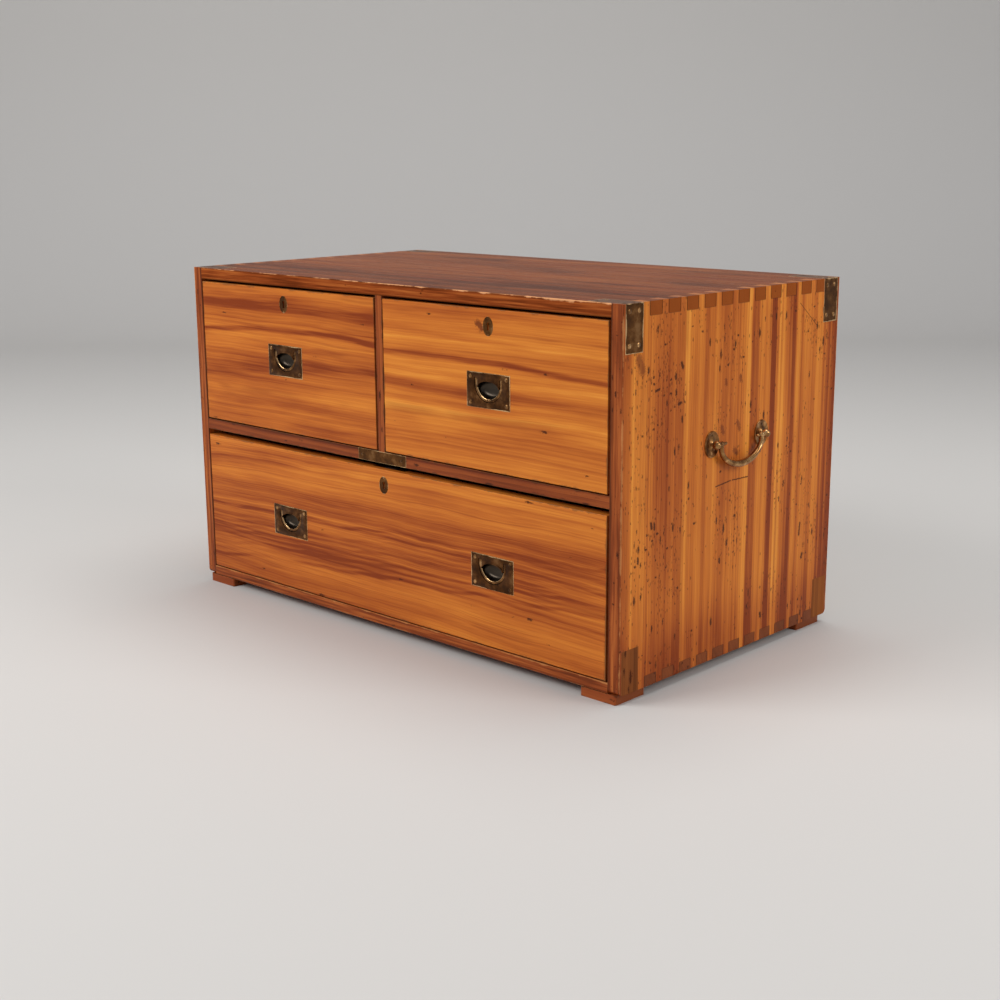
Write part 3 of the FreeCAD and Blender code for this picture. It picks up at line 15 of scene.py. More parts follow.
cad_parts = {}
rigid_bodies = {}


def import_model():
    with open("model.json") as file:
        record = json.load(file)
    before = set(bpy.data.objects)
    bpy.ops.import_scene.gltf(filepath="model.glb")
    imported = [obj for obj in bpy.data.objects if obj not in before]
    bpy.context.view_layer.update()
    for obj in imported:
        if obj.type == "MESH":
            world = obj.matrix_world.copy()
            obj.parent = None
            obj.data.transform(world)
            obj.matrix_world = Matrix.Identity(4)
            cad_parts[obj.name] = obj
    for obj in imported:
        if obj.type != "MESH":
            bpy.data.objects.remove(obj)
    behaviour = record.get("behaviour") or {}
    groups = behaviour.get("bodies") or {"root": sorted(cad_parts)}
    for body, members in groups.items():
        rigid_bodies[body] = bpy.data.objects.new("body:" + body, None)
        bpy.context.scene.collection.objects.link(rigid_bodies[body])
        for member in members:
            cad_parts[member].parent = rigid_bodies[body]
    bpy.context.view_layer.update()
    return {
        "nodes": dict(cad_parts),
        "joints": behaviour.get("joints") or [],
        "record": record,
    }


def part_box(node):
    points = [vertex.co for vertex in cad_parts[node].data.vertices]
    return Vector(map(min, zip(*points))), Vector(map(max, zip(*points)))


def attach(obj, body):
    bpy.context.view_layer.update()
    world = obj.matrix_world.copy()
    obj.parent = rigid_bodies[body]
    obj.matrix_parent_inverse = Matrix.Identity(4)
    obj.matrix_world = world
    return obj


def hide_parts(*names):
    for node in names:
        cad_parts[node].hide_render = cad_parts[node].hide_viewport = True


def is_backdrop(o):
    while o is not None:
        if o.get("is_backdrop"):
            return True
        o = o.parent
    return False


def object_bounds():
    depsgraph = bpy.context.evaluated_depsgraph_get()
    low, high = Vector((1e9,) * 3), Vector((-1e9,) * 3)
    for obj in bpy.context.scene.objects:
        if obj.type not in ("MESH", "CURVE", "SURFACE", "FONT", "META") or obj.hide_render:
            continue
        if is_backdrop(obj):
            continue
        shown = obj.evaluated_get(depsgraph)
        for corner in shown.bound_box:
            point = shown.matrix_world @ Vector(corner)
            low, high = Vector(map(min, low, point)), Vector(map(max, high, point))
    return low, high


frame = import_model()
nodes = frame["nodes"]
MM = 0.001

# %% [markdown]
# ## The camera
# The camera stands where the photograph's corners of the chest put it. Its lens is worked out from
# a focal length in pixels, because the photograph is 1000 pixels wide and the sensor 36 mm.

# %% Camera
IMAGE_WIDTH = 1000
FOCAL_PIXELS = 1532.5
SENSOR_MM = 36
CAMERA_PLACE = Vector((1.6576, -1.7543, 0.7368))
AZIMUTH, ELEVATION, ROLL = 43.43, 13.28, -0.35

azimuth, elevation = math.radians(AZIMUTH), math.radians(ELEVATION)
backward = Vector((math.sin(azimuth) * math.cos(elevation),
                   -math.cos(azimuth) * math.cos(elevation),
                   math.sin(elevation)))
camera = bpy.data.objects.new("camera", bpy.data.cameras.new("camera"))
camera.data.sensor_width = SENSOR_MM
camera.data.lens = SENSOR_MM * FOCAL_PIXELS / IMAGE_WIDTH
camera.location = CAMERA_PLACE
camera.rotation_mode = "QUATERNION"
level_turn = (-backward).to_track_quat("-Z", "Y")
camera.rotation_quaternion = level_turn @ Quaternion((0, 0, 1), math.radians(ROLL))
bpy.context.scene.collection.objects.link(camera)
bpy.context.scene.camera = camera
bpy.context.scene.view_settings.view_transform = "Standard"
print("lens", round(camera.data.lens, 2), "mm")

# %% [markdown]
# ## Nodes by name
# A shader is a web of nodes. A small helper places a node, feeds its sockets with a number or with
# another node's output, and keeps each recipe below short enough to read.


# %% A helper for shader nodes
class Web:
    """Places nodes in one tree and joins them."""

    def __init__(self, tree):
        self.tree = tree

    def put(self, kind, **settings):
        """A new node with its settings."""
        node = self.tree.nodes.new("ShaderNode" + kind)
        for name, value in settings.items():
            setattr(node, name, value)
        return node

    def feed(self, socket, value):
        """Join another node's output to a socket, or set the socket to a number."""
        if isinstance(value, bpy.types.NodeSocket):
            self.tree.links.new(value, socket)
        elif value is not None:
            socket.default_value = value

    def math(self, operation, a, b=None, c=None, clamp=False):
        """Arithmetic on numbers."""
        node = self.put("Math", operation=operation, use_clamp=clamp)
        for socket, value in zip(node.inputs, (a, b, c)):
            self.feed(socket, value)
        return node.outputs[0]

    def vector(self, operation, a, b=None, scale=None):
        """Arithmetic on vectors."""
        node = self.put("VectorMath", operation=operation)
        self.feed(node.inputs[0], a)
        self.feed(node.inputs[1], b)
        if scale is not None:
            self.feed(node.inputs["Scale"], scale)
        return node.outputs["Value" if operation in ("DOT_PRODUCT", "LENGTH") else "Vector"]

    def split(self, place):
        """The three parts of a vector."""
        node = self.put("SeparateXYZ")
        self.feed(node.inputs[0], place)
        return node.outputs[0], node.outputs[1], node.outputs[2]

    def join(self, x, y, z):
        """A vector from three parts."""
        node = self.put("CombineXYZ")
        for socket, value in zip(node.inputs, (x, y, z)):
            self.feed(socket, value)
        return node.outputs[0]

    def noise(self, place, scale=1.0, detail=2.0, roughness=0.5, lengthwise=False):
        """Smooth noise in space, or along one number if lengthwise."""
        node = self.put("TexNoise", noise_dimensions="1D" if lengthwise else "3D")
        self.feed(node.inputs["W" if lengthwise else "Vector"], place)
        self.feed(node.inputs["Scale"], scale)
        self.feed(node.inputs["Detail"], detail)
        self.feed(node.inputs["Roughness"], roughness)
        return node.outputs[0]

    def fade(self, value, low, high, start=0.0, end=1.0):
        """A smooth step from start at low to end at high."""
        node = self.put("MapRange", interpolation_type="SMOOTHSTEP")
        for socket, amount in zip(node.inputs, (value, low, high, start, end)):
            self.feed(socket, amount)
        return node.outputs[0]

    def mix(self, share, a, b):
        """A colour between a, where the share is 0, and b, where it is 1."""
        node = self.put("Mix", data_type="RGBA")
        self.feed(node.inputs[0], share)
        self.feed(node.inputs[6], a)
        self.feed(node.inputs[7], b)
        return node.outputs[2]

    def ramp(self, value, stops):
        """A colour ramp; stops are (place, colour)."""
        node = self.put("ValToRGB")
        band = node.color_ramp
        while len(band.elements) < len(stops):
            band.elements.new(1.0)
        for element, (place, colour) in zip(band.elements, stops):
            element.position = place
            element.color = (*colour, 1)
        self.feed(node.inputs[0], value)
        return node.outputs[0]

    def use(self, group, **values):
        """Place a node group and feed its inputs, named with _ for a space."""
        node = self.put("Group")
        node.node_tree = group
        for name, value in values.items():
            self.feed(node.inputs[name.replace("_", " ")], value)
        return node.outputs


def start_group(name, inputs, outputs):
    """A node group with named sockets: inputs map a name to a default, a vector if it has three."""
    tree = bpy.data.node_groups.new(name, "ShaderNodeTree")
    for label, value in inputs.items():
        kind = "NodeSocketVector" if isinstance(value, tuple) else "NodeSocketFloat"
        socket = tree.interface.new_socket(label, in_out="INPUT", socket_type=kind)
        socket.default_value = value
    for label in outputs:
        tree.interface.new_socket(label, in_out="OUTPUT", socket_type="NodeSocketFloat")
    web = Web(tree)
    start = tree.nodes.new("NodeGroupInput").outputs
    end = tree.nodes.new("NodeGroupOutput").inputs
    return tree, web, start, end


def grained_noise(web, parts, scales, seed, detail=2.0, roughness=0.5):
    """Noise stretched along the grain; parts are along, across and depth, scales the first and rest."""
    along, across, depth = parts
    place = web.join(web.math("MULTIPLY_ADD", along, scales[0], seed),
                     web.math("MULTIPLY", across, scales[1]), web.math("MULTIPLY", depth, scales[1]))
    return web.noise(place, 1.0, detail, roughness)


print("helpers for shader nodes are ready")

# %% [markdown]
# ## The figure of camphor wood
# A board shows the tree's rings as bands that run with the grain. One number says how far across
# the rings a point lies; slow noise sways it. Noise along that number gives broad and narrow
# bands, and noise stretched along the grain gives the short fibres. The place is given with its
# X along the grain, its Y across the face and its Z into the board.

# %% Node group: timber figure
# How finely each noise changes along the grain, and across it
SLOW, QUICK, CLOUDY, FIBROUS = (1.6, 4.5), (8.0, 22.0), (3.5, 17.0), (14.0, 520.0)
# Broad, middling and narrow bands: start, fineness and share of the tone
RING_BANDS = [(0.0, 1.0, 0.95), (17.0, 5.0, 0.65), (31.0, 21.0, 0.45)]
# The shares bring the tone above its middle, so it starts below zero
LEVEL, CLOUD_SHARE = -0.95, 0.85
# The quick noise sways the rings less than the slow one, and the rings lean into the board
QUICK_SHARE, LEAN = 0.20, 0.4
# Growth lines lie where one more noise along the rings passes its middle
GROWTH_START, GROWTH_FINENESS, GROWTH_WIDTH = 47.0, 2.2, 0.035

timber_figure, web, start, end = start_group(
    "timber figure",
    {"Place": (0.0, 0.0, 0.0), "Sway": 0.03, "Bands": 14.0, "Seed": 0.0},
    ["Tone", "Line", "Fibre"])
parts = web.split(start["Place"])
along, across, depth = parts
seed = start["Seed"]
slow = grained_noise(web, parts, SLOW, seed)
quick = grained_noise(web, parts, QUICK, seed)
sway = web.math("MULTIPLY_ADD", web.math("SUBTRACT", quick, 0.5), QUICK_SHARE,
                web.math("SUBTRACT", slow, 0.5))
ring = web.math("MULTIPLY_ADD", sway, start["Sway"], web.math("MULTIPLY_ADD", depth, LEAN, across))
ring = web.math("MULTIPLY_ADD", ring, start["Bands"], seed)
tone = LEVEL
for offset, scale, share in RING_BANDS:
    bands = web.noise(web.math("ADD", ring, offset), scale, 1.5, 0.6, lengthwise=True)
    tone = web.math("MULTIPLY_ADD", bands, share, tone)
cloud = grained_noise(web, parts, CLOUDY, seed, 3.0)
web.feed(end["Tone"], web.math("MULTIPLY_ADD", cloud, CLOUD_SHARE, tone))
growth = web.noise(web.math("ADD", ring, GROWTH_START), GROWTH_FINENESS, 1.0, lengthwise=True)
closeness = web.math("ABSOLUTE", web.math("SUBTRACT", growth, 0.5))
line = web.fade(closeness, 0.0, GROWTH_WIDTH, 1.0, 0.0)
web.feed(end["Line"], web.math("MULTIPLY", line, web.fade(quick, 0.40, 0.62)))
web.feed(end["Fibre"], grained_noise(web, parts, FIBROUS, 0.0, 2.0, 0.6))
print("timber figure has", len(timber_figure.nodes), "nodes")

# %% [markdown]
# ## Belts and marks
# Some features of this chest are given one by one, such as the dark line that runs across both short
# drawers. A belt follows one curve along the grain. A mark is a short line between two points,
# with a ragged edge, for a scratch, a bruise or a stain.

# %% Node groups: belt and mark
belt_group, web, start, end = start_group(
    "figure belt",
    {"Place": (0.0, 0.0, 0.0), "Ripple": 0.0, "Middle": 0.0, "Height": 0.0, "Tilt": 0.0, "Bow": 0.0,
     "Half": 0.01, "Soft": 0.01},
    ["Mask"])
along, across, depth = web.split(start["Place"])
from_middle = web.math("SUBTRACT", along, start["Middle"])
curve = web.math("MULTIPLY_ADD", from_middle, web.math("MULTIPLY", from_middle, start["Bow"]),
                 web.math("MULTIPLY_ADD", from_middle, start["Tilt"], start["Height"]))
off = web.math("ADD", web.math("SUBTRACT", across, curve), start["Ripple"])
off = web.math("SUBTRACT", web.math("ABSOLUTE", off), start["Half"])
web.feed(end["Mask"], web.fade(web.math("DIVIDE", off, start["Soft"]), 0.0, 1.0, 1.0, 0.0))

mark_group, web, start, end = start_group(
    "mark",
    {"Place": (0.0, 0.0, 0.0), "Ragged": 0.5, "From": (0.0, 0.0, 0.0), "To": (0.0, 0.0, 0.0),
     "Width": 0.002},
    ["Mask"])
run = web.vector("SUBTRACT", start["To"], start["From"])
offset = web.vector("SUBTRACT", start["Place"], start["From"])
share = web.math("DIVIDE", web.vector("DOT_PRODUCT", offset, run),
                 web.vector("DOT_PRODUCT", run, run), clamp=True)
gap = web.vector("LENGTH", web.vector("SUBTRACT", offset, web.vector("SCALE", run, scale=share)))
gap = web.math("MULTIPLY", gap, web.math("MULTIPLY_ADD", start["Ragged"], 2.6, -0.3))
web.feed(end["Mask"], web.fade(web.math("DIVIDE", gap, start["Width"]), 0.35, 1.0, 1.0, 0.0))
print("belt and mark are ready")

# %% [markdown]
# ## Worn edges
# A worn edge lies near two faces of a board's box, so the second smallest distance to the box's
# faces tells how near it is. Wear is never even, so noise makes it reach further in some places.
# The same mask also places painted highlights on rubbed edges and darker bands along edges.

# %% Node groups: edge distance and edge wear
edge_group, web, start, end = start_group(
    "edge distance",
    {"Place": (0.0, 0.0, 0.0), "Low": (0.0, 0.0, 0.0), "High": (1.0, 1.0, 1.0)},
    ["Distance"])
inward = web.vector("MINIMUM", web.vector("SUBTRACT", start["Place"], start["Low"]),
                    web.vector("SUBTRACT", start["High"], start["Place"]))
x, y, z = web.split(inward)
smaller, larger = web.math("MINIMUM", x, y), web.math("MAXIMUM", x, y)
web.feed(end["Distance"], web.math("MAXIMUM", smaller, web.math("MINIMUM", larger, z)))

wear_group, web, start, end = start_group(
    "edge wear",
    {"Place": (0.0, 0.0, 0.0), "Distance": 1.0, "Reach": 0.003},
    ["Mask"])
patchy = web.noise(start["Place"], 30.0, 4.0, 0.7)
reach = web.math("MULTIPLY", start["Reach"], web.fade(patchy, 0.40, 0.70, 0.25, 1.7))
web.feed(end["Mask"], web.fade(web.math("DIVIDE", start["Distance"], reach), 0.3, 1.0, 1.0, 0.0))
print("edge distance and edge wear are ready")

# %% [markdown]
# ## Flecks and joints
# Flecks are Voronoi cells. Each cell has its own random colour: the red of it chooses the few that
# are dark, and the green gives their size. The sides of the dovetails repeat, so one repeated
# distance draws the dirt in their joints.

# %% Node groups: flecks and joint lines
fleck_group, web, start, end = start_group(
    "flecks",
    {"Place": (0.0, 0.0, 0.0), "Ragged": 0.5, "Cluster": 1.0, "Cells": 60.0, "Stretch": 0.4,
     "Share": 0.1, "Size": 0.25, "Seed": 0.0},
    ["Mask"])
along, across, depth = web.split(start["Place"])
stretched = web.join(web.math("MULTIPLY_ADD", along, start["Stretch"], start["Seed"]), across, depth)
cells = web.put("TexVoronoi", feature="F1")
web.feed(cells.inputs["Vector"], stretched)
web.feed(cells.inputs["Scale"], start["Cells"])
pick_red, pick_green = web.split(cells.outputs["Color"])[:2]
chosen = web.math("LESS_THAN", pick_red, web.math("MULTIPLY", start["Share"], start["Cluster"]))
size = web.math("MULTIPLY", start["Size"], web.math("MULTIPLY_ADD", pick_green, 1.1, 0.20))
ragged = web.math("MULTIPLY_ADD", start["Ragged"], 0.5, -0.25)
spread = web.math("ADD", cells.outputs["Distance"], ragged)
near = web.fade(web.math("DIVIDE", spread, size), 0.45, 1.0, 1.0, 0.0)
web.feed(end["Mask"], web.math("MULTIPLY", near, chosen))

joint_group, web, start, end = start_group(
    "joint lines",
    {"Across": 0.0, "First": 0.0, "Pitch": 0.04, "Half": 0.007, "Width": 0.0006},
    ["Mask", "Inside"])
turns = web.math("DIVIDE", web.math("SUBTRACT", start["Across"], start["First"]), start["Pitch"])
away = web.math("ABSOLUTE", web.math("SUBTRACT", turns, web.math("ROUND", turns)))
away = web.math("SUBTRACT", web.math("MULTIPLY", away, start["Pitch"]), start["Half"])
line = web.math("DIVIDE", web.math("ABSOLUTE", away), start["Width"])
web.feed(end["Mask"], web.fade(line, 0.4, 1.2, 1.0, 0.0))
web.feed(end["Inside"], web.math("LESS_THAN", away, 0.0))
print("flecks and joint lines are ready")

# %% [markdown]
# ## The colours of the woods
# A palette is a row of stops that run from the darkest tone of a wood to its lightest. Old camphor is
# honey coloured where light has bleached it, red on the frame and deeper on the top. The inside was
# never polished, so its lining is pale and dull.

# %% Palettes
HONEY = [(0.0, (0.24, 0.040, 0.006)), (0.22, (0.39, 0.086, 0.013)), (0.5, (0.56, 0.152, 0.021)),
         (0.78, (0.70, 0.225, 0.030)), (1.0, (0.82, 0.310, 0.045))]
RED = [(0.0, (0.05, 0.008, 0.002)), (0.5, (0.22, 0.044, 0.010)), (1.0, (0.42, 0.105, 0.022))]
EDGE_RED = [(0.0, (0.10, 0.018, 0.004)), (0.5, (0.29, 0.060, 0.013)), (1.0, (0.50, 0.140, 0.030))]
TOP_RED = [(0.0, (0.075, 0.018, 0.006)), (0.5, (0.18, 0.046, 0.012)), (1.0, (0.30, 0.086, 0.022))]
LINING = [(0.0, (0.28, 0.125, 0.048)), (0.5, (0.40, 0.200, 0.085)), (1.0, (0.50, 0.270, 0.125))]
FOOT = [(0.0, (0.18, 0.034, 0.008)), (0.5, (0.27, 0.056, 0.014)), (1.0, (0.35, 0.085, 0.022))]
PATCH = [(0.0, (0.11, 0.030, 0.007)), (0.5, (0.23, 0.066, 0.015)), (1.0, (0.36, 0.115, 0.024))]
DIRT_AND_SHADE = (0.055, 0.012, 0.003, 1)
DARK_RED = (0.20, 0.028, 0.006, 1)
PALE_WEAR_AND_HIGHLIGHT = (0.74, 0.33, 0.11, 1)
BRUISE = (0.12, 0.020, 0.006, 1)
END_GRAIN = (0.20, 0.055, 0.015, 1)
PIN_END = (0.28, 0.090, 0.020, 1)
TAIL_END = (0.34, 0.084, 0.017, 1)
DARK_REFLECTION = (0.055, 0.015, 0.007, 1)
SEAM_REFLECTION = (0.42, 0.20, 0.09, 1)
TOP_WEAR_AND_HIGHLIGHT = (0.80, 0.38, 0.17, 1)
print("palettes:", len(HONEY) + len(RED) + len(LINING), "colours for the three main woods")

# %% [markdown]
# ## The figure of one board
# A board starts with its own place along, across and into the grain. The timber figure gives it a
# tone, which runs from dark at 0 to light at 1. Belts and stripes change that tone where the
# photograph shows a feature of this very board. They share one slow ripple, so that neighbours
# sway together as rings do.

# %% A board's figure
# Which axis is along the grain, which across it and which into the board
GRAIN_AXES = {"x": (0, 2, 1), "top": (0, 1, 2), "z": (2, 1, 0), "y": (1, 2, 0)}
# Fineness of the noise that frays marks and flecks, and of the one that gathers flecks in crowds
RAGGED_SCALE, CLUSTER_SCALE = 380.0, 16.0


class Figure:
    """The tone of a board: its own figure with belts and stripes."""

    def __init__(self, name, grain, palette, seed, sway, bands):
        self.material = bpy.data.materials.new(name)
        self.material.use_nodes = True
        self.material.node_tree.nodes.clear()
        self.web = web = Web(self.material.node_tree)
        self.place = web.put("TexCoord").outputs["Object"]
        axes = web.split(self.place)
        self.along, self.across, self.depth = (axes[i] for i in GRAIN_AXES[grain])
        self.grained = web.join(self.along, self.across, self.depth)
        figure = web.use(timber_figure, Place=self.grained, Sway=sway, Bands=bands, Seed=seed)
        self.tone, self.line, self.fibre = figure["Tone"], figure["Line"], figure["Fibre"]
        self.ragged = web.noise(self.place, RAGGED_SCALE, 3.0, 0.7)
        crowd = web.noise(self.grained, CLUSTER_SCALE, 1.0)
        self.cluster = web.fade(crowd, 0.42, 0.60, 0.15, 1.6)
        self.palette = palette
        self.ripple = self.presence = self.colour = self.dirt_and_shade = None

    def start_ripple(self, seed, amount):
        """One slow wave that all the belts of a board share, and where they come and go."""
        web = self.web
        wave = web.noise(web.join(web.math("MULTIPLY_ADD", self.along, 8.0, seed),
                                  web.math("MULTIPLY", self.across, 7.0), self.depth), 1.0, 2.5)
        self.ripple = web.math("MULTIPLY", web.math("SUBTRACT", wave, 0.5), amount)
        self.presence = web.fade(web.noise(web.join(web.math("MULTIPLY", self.along, 5.0),
                                                    web.math("MULTIPLY", self.across, 40.0), seed)),
                                 0.35, 0.6, 0.35, 1.0)

    def belt(self, amount, height, middle=0.0, tilt=0.0, bow=0.0, half=0.005, soft=0.008, steady=False):
        """Make the figure darker (or lighter, if amount is below zero) along a curve."""
        web = self.web
        mask = web.use(belt_group, Place=self.grained, Ripple=self.ripple, Middle=middle,
                       Height=height, Tilt=tilt, Bow=bow, Half=half, Soft=soft)["Mask"]
        if not steady:
            mask = web.math("MULTIPLY", mask, self.presence)
        self.tone = web.math("MULTIPLY_ADD", mask, -amount, self.tone)

    def across_ramp(self, stops, low, high):
        """A number that changes across the grain: stops are (place in mm, number)."""
        web = self.web
        swayed = web.math("ADD", self.ripple, self.across)
        spot = web.math("DIVIDE", web.math("SUBTRACT", swayed, low), high - low)
        rows = [((place * MM - low) / (high - low), (number, number, number)) for place, number in stops]
        return web.ramp(spot, rows)

    def stripes(self, stops, low, high, share):
        """Take away a share of the figure and add stripes, told as stops of the tone."""
        web = self.web
        own = web.math("MULTIPLY", web.math("SUBTRACT", self.tone, 0.5), 1.0 - share)
        self.tone = web.math("ADD", own, self.across_ramp(stops, low, high))


print("grain directions:", ", ".join(GRAIN_AXES))

# %% [markdown]
# ## From figure to finished wood
# Every wooden piece goes through the same steps: a colour from its palette, darker end grain, dirt
# and painted shade, worn edges with a painted highlight, and marks, then one shader. A small class
# keeps the colour and the dirt and painted shade while the steps add to them. All the dirt and
# painted shade is gathered in one mask and laid on once, which keeps the shader short.

# %% The timber builder
ARRIS = 0.4 * MM
LINE_SHARE, FIBRE_SHARE = 0.30, 0.42
FIBRE_GLOSS, FIBRE_BUMP = 0.14, 0.08 * MM


class Timber(Figure):
    """A wooden finish under construction."""

    def paint(self, lift=0.0):
        """Turn the tone into a colour, with growth lines and fibres."""
        web = self.web
        tone = web.math("MULTIPLY_ADD", web.math("SUBTRACT", self.fibre, 0.5), FIBRE_SHARE, self.tone)
        tone = web.math("ADD", tone, lift, clamp=True)
        colour = web.ramp(tone, self.palette)
        self.colour = web.mix(web.math("MULTIPLY", self.line, LINE_SHARE), colour, DARK_RED)

    def stain(self, mask, colour, amount=1.0):
        """Lay a colour where the mask is."""
        self.colour = self.web.mix(self.web.math("MULTIPLY", mask, amount), self.colour, colour)

    def add_dirt_and_shade(self, mask, amount=1.0):
        """Add a mask to the dirt and painted shade."""
        mask = self.web.math("MULTIPLY", mask, amount)
        self.dirt_and_shade = mask if self.dirt_and_shade is None else self.web.math("MAXIMUM", self.dirt_and_shade, mask)

    def front_edge(self, mask):
        """Streaks on the narrow face of a board that looks to the front."""
        web = self.web
        streak = web.noise(web.join(web.math("MULTIPLY", self.along, 7.0),
                                    web.math("MULTIPLY", self.depth, 210.0), 3.0), 1.0, 3.0, 0.65)
        self.stain(mask, web.ramp(web.fade(streak, 0.25, 0.75), EDGE_RED), 0.9)

    def end_grain(self, low, high, colour=END_GRAIN, amount=0.6):
        """Darken what lies at either end of the grain."""
        web = self.web
        ends = web.math("MAXIMUM", web.math("LESS_THAN", self.along, low + ARRIS),
                        web.math("GREATER_THAN", self.along, high - ARRIS))
        self.stain(ends, colour, amount)

    def flecks(self, share, cells, stretch, size, seed=0.0, amount=0.9):
        """Dark flecks in a share of the cells, stretched along the grain where stretch is below one."""
        mask = self.web.use(fleck_group, Place=self.grained, Ragged=self.ragged, Cells=cells,
                            Cluster=self.cluster, Stretch=stretch, Share=share, Size=size,
                            Seed=seed)["Mask"]
        self.add_dirt_and_shade(mask, amount)

    def edge_mask(self, box, reach):
        """Patches along the edges of a box."""
        low, high = box
        distance = self.web.use(edge_group, Place=self.place, Low=low, High=high)["Distance"]
        return self.web.use(wear_group, Place=self.place, Distance=distance, Reach=reach)["Mask"]

    def wear_and_highlight(self, box, reach, colour=PALE_WEAR_AND_HIGHLIGHT, amount=0.5):
        """Rub the edges of a box pale: wear, with a painted highlight along them."""
        self.stain(self.edge_mask(box, reach), colour, amount)

    def mark(self, start, end, width):
        """The mask of one short line."""
        return self.web.use(mark_group, Place=self.place, Ragged=self.ragged, From=start, To=end,
                            Width=width)["Mask"]

    def marks(self, rows):
        """One mask for many short lines."""
        masks = [self.mark(*row) for row in rows]
        whole = masks[0]
        for mask in masks[1:]:
            whole = self.web.math("MAXIMUM", whole, mask)
        return whole

    def finish(self, roughness=0.34, specular=0.12):
        """Lay on the dirt and painted shade and close the material. The stage is pale all round, so
        specular is low.
        """
        web = self.web
        shader = web.put("BsdfPrincipled")
        if self.dirt_and_shade is not None:
            self.colour = web.mix(self.dirt_and_shade, self.colour, DIRT_AND_SHADE)
        web.feed(shader.inputs["Base Color"], self.colour)
        rough = web.math("MULTIPLY_ADD", self.fibre, FIBRE_GLOSS, roughness - FIBRE_GLOSS / 2)
        web.feed(shader.inputs["Roughness"], rough)
        shader.inputs["Specular IOR Level"].default_value = specular
        bump = web.put("Bump")
        bump.inputs["Distance"].default_value = FIBRE_BUMP
        web.feed(bump.inputs["Height"], self.fibre)
        web.feed(shader.inputs["Normal"], bump.outputs[0])
        web.feed(web.put("OutputMaterial").inputs["Surface"], shader.outputs[0])
        return self.material


def dress(node, material):
    """Give a CAD node one material."""
    obj = nodes[node]
    obj.data.materials.clear()
    obj.data.materials.append(material)


print("a wood takes", ", ".join(name for name in vars(Timber) if not name.startswith("_")))

# %% [markdown]
# ## Drawer fronts
# The two short fronts were cut from one board, so a dark line runs on from one to the other. The
# long front has a broad reddish zone with rippled lines. A belt's height is in metres above the
# floor, and its first number says how much darker it is, or how much lighter if it is negative.

# %% The figure of the drawer fronts
DRAWERS = ("drawer_left", "drawer_right", "drawer_long")


def start_front(drawer, seed, sway, bands, ripple):
    """A honey coloured front whose belts share a ripple."""
    wood = Timber(drawer + "_front_wood", "x", HONEY, seed, sway, bands)
    wood.start_ripple(seed, ripple)
    return wood


left_wood = start_front("drawer_left", 3.1, 0.03, 11.0, 0.010)
left_wood.belt(0.44, 0.4480, middle=-0.18, bow=-0.21, half=0.0012, soft=0.0050, steady=True)
left_wood.belt(0.26, 0.4895, middle=-0.22, tilt=-0.01, half=0.006, soft=0.016)
left_wood.belt(0.22, 0.3925, middle=-0.20, tilt=0.086, half=0.004, soft=0.013)
left_wood.belt(-0.30, 0.3250, middle=-0.24, tilt=0.05, half=0.012, soft=0.030)
left_wood.belt(0.22, 0.4180, middle=-0.20, tilt=0.04, half=0.001, soft=0.006)
left_wood.belt(-0.18, 0.4260, middle=-0.18, bow=-0.15, half=0.004, soft=0.016)

right_wood = start_front("drawer_right", 5.7, 0.03, 11.0, 0.009)
right_wood.belt(0.48, 0.4390, middle=0.14, bow=-0.135, half=0.0012, soft=0.0050, steady=True)
right_wood.belt(0.26, 0.3930, middle=0.2, tilt=-0.01, half=0.003, soft=0.010)
right_wood.belt(0.24, 0.3290, middle=0.2, tilt=0.03, half=0.003, soft=0.011)
right_wood.belt(0.20, 0.4660, middle=0.2, tilt=-0.03, half=0.001, soft=0.006)
right_wood.belt(-0.30, 0.3500, middle=0.2, half=0.012, soft=0.030)
right_wood.belt(-0.16, 0.4150, middle=0.2, half=0.003, soft=0.016)

long_wood = start_front("drawer_long", 11.3, 0.045, 15.0, 0.022)
# The rippled lines from the lowest to the highest: share of the way up their zone, and darkness
RIPPLED = [(0.00, 0.30), (0.13, 0.16), (0.24, 0.28), (0.36, 0.14), (0.47, 0.30), (0.60, 0.18),
           (0.71, 0.26), (0.83, 0.14), (1.00, 0.36)]
ZONE_LOW, ZONE_RISE = 0.0895, 0.0705
for share, amount in RIPPLED:
    long_wood.belt(amount, ZONE_LOW + ZONE_RISE * share, tilt=0.068 - 0.022 * share,
                   bow=-0.012 + 0.03 * share, half=0.0009, soft=0.0038)
long_wood.belt(0.07, 0.1250, tilt=0.057, half=0.026, soft=0.022, steady=True)
long_wood.belt(-0.10, 0.2180, tilt=0.02, half=0.010, soft=0.026)
long_wood.belt(0.22, 0.2330, middle=-0.35, tilt=0.09, half=0.004, soft=0.016)
print("the long front has", len(RIPPLED), "rippled lines")

# %% [markdown]
# ## Finishing the fronts
# Each front gets a lift of its tone, because one is paler than the next, then its end grain, a few
# flecks, a darker band along its edges, and rubbed arrises with a painted highlight. The right one
# has a dark stain beside its key plate. The darker band is measured from a box a little larger than
# the board, which keeps it thin.

# %% Finish the drawer fronts
LIFTS = {"drawer_left": -0.15, "drawer_right": 0.02, "drawer_long": -0.10}
SIDE_ROOM = Vector((0.0006, 0.0, 0.0006))
EDGE_DARK_REACH, RUB_REACH = 0.0030, 0.0012
STAIN_FROM, STAIN_TO, STAIN_WIDTH = (-0.009, 0.016), (-0.002, 0.010), 0.007

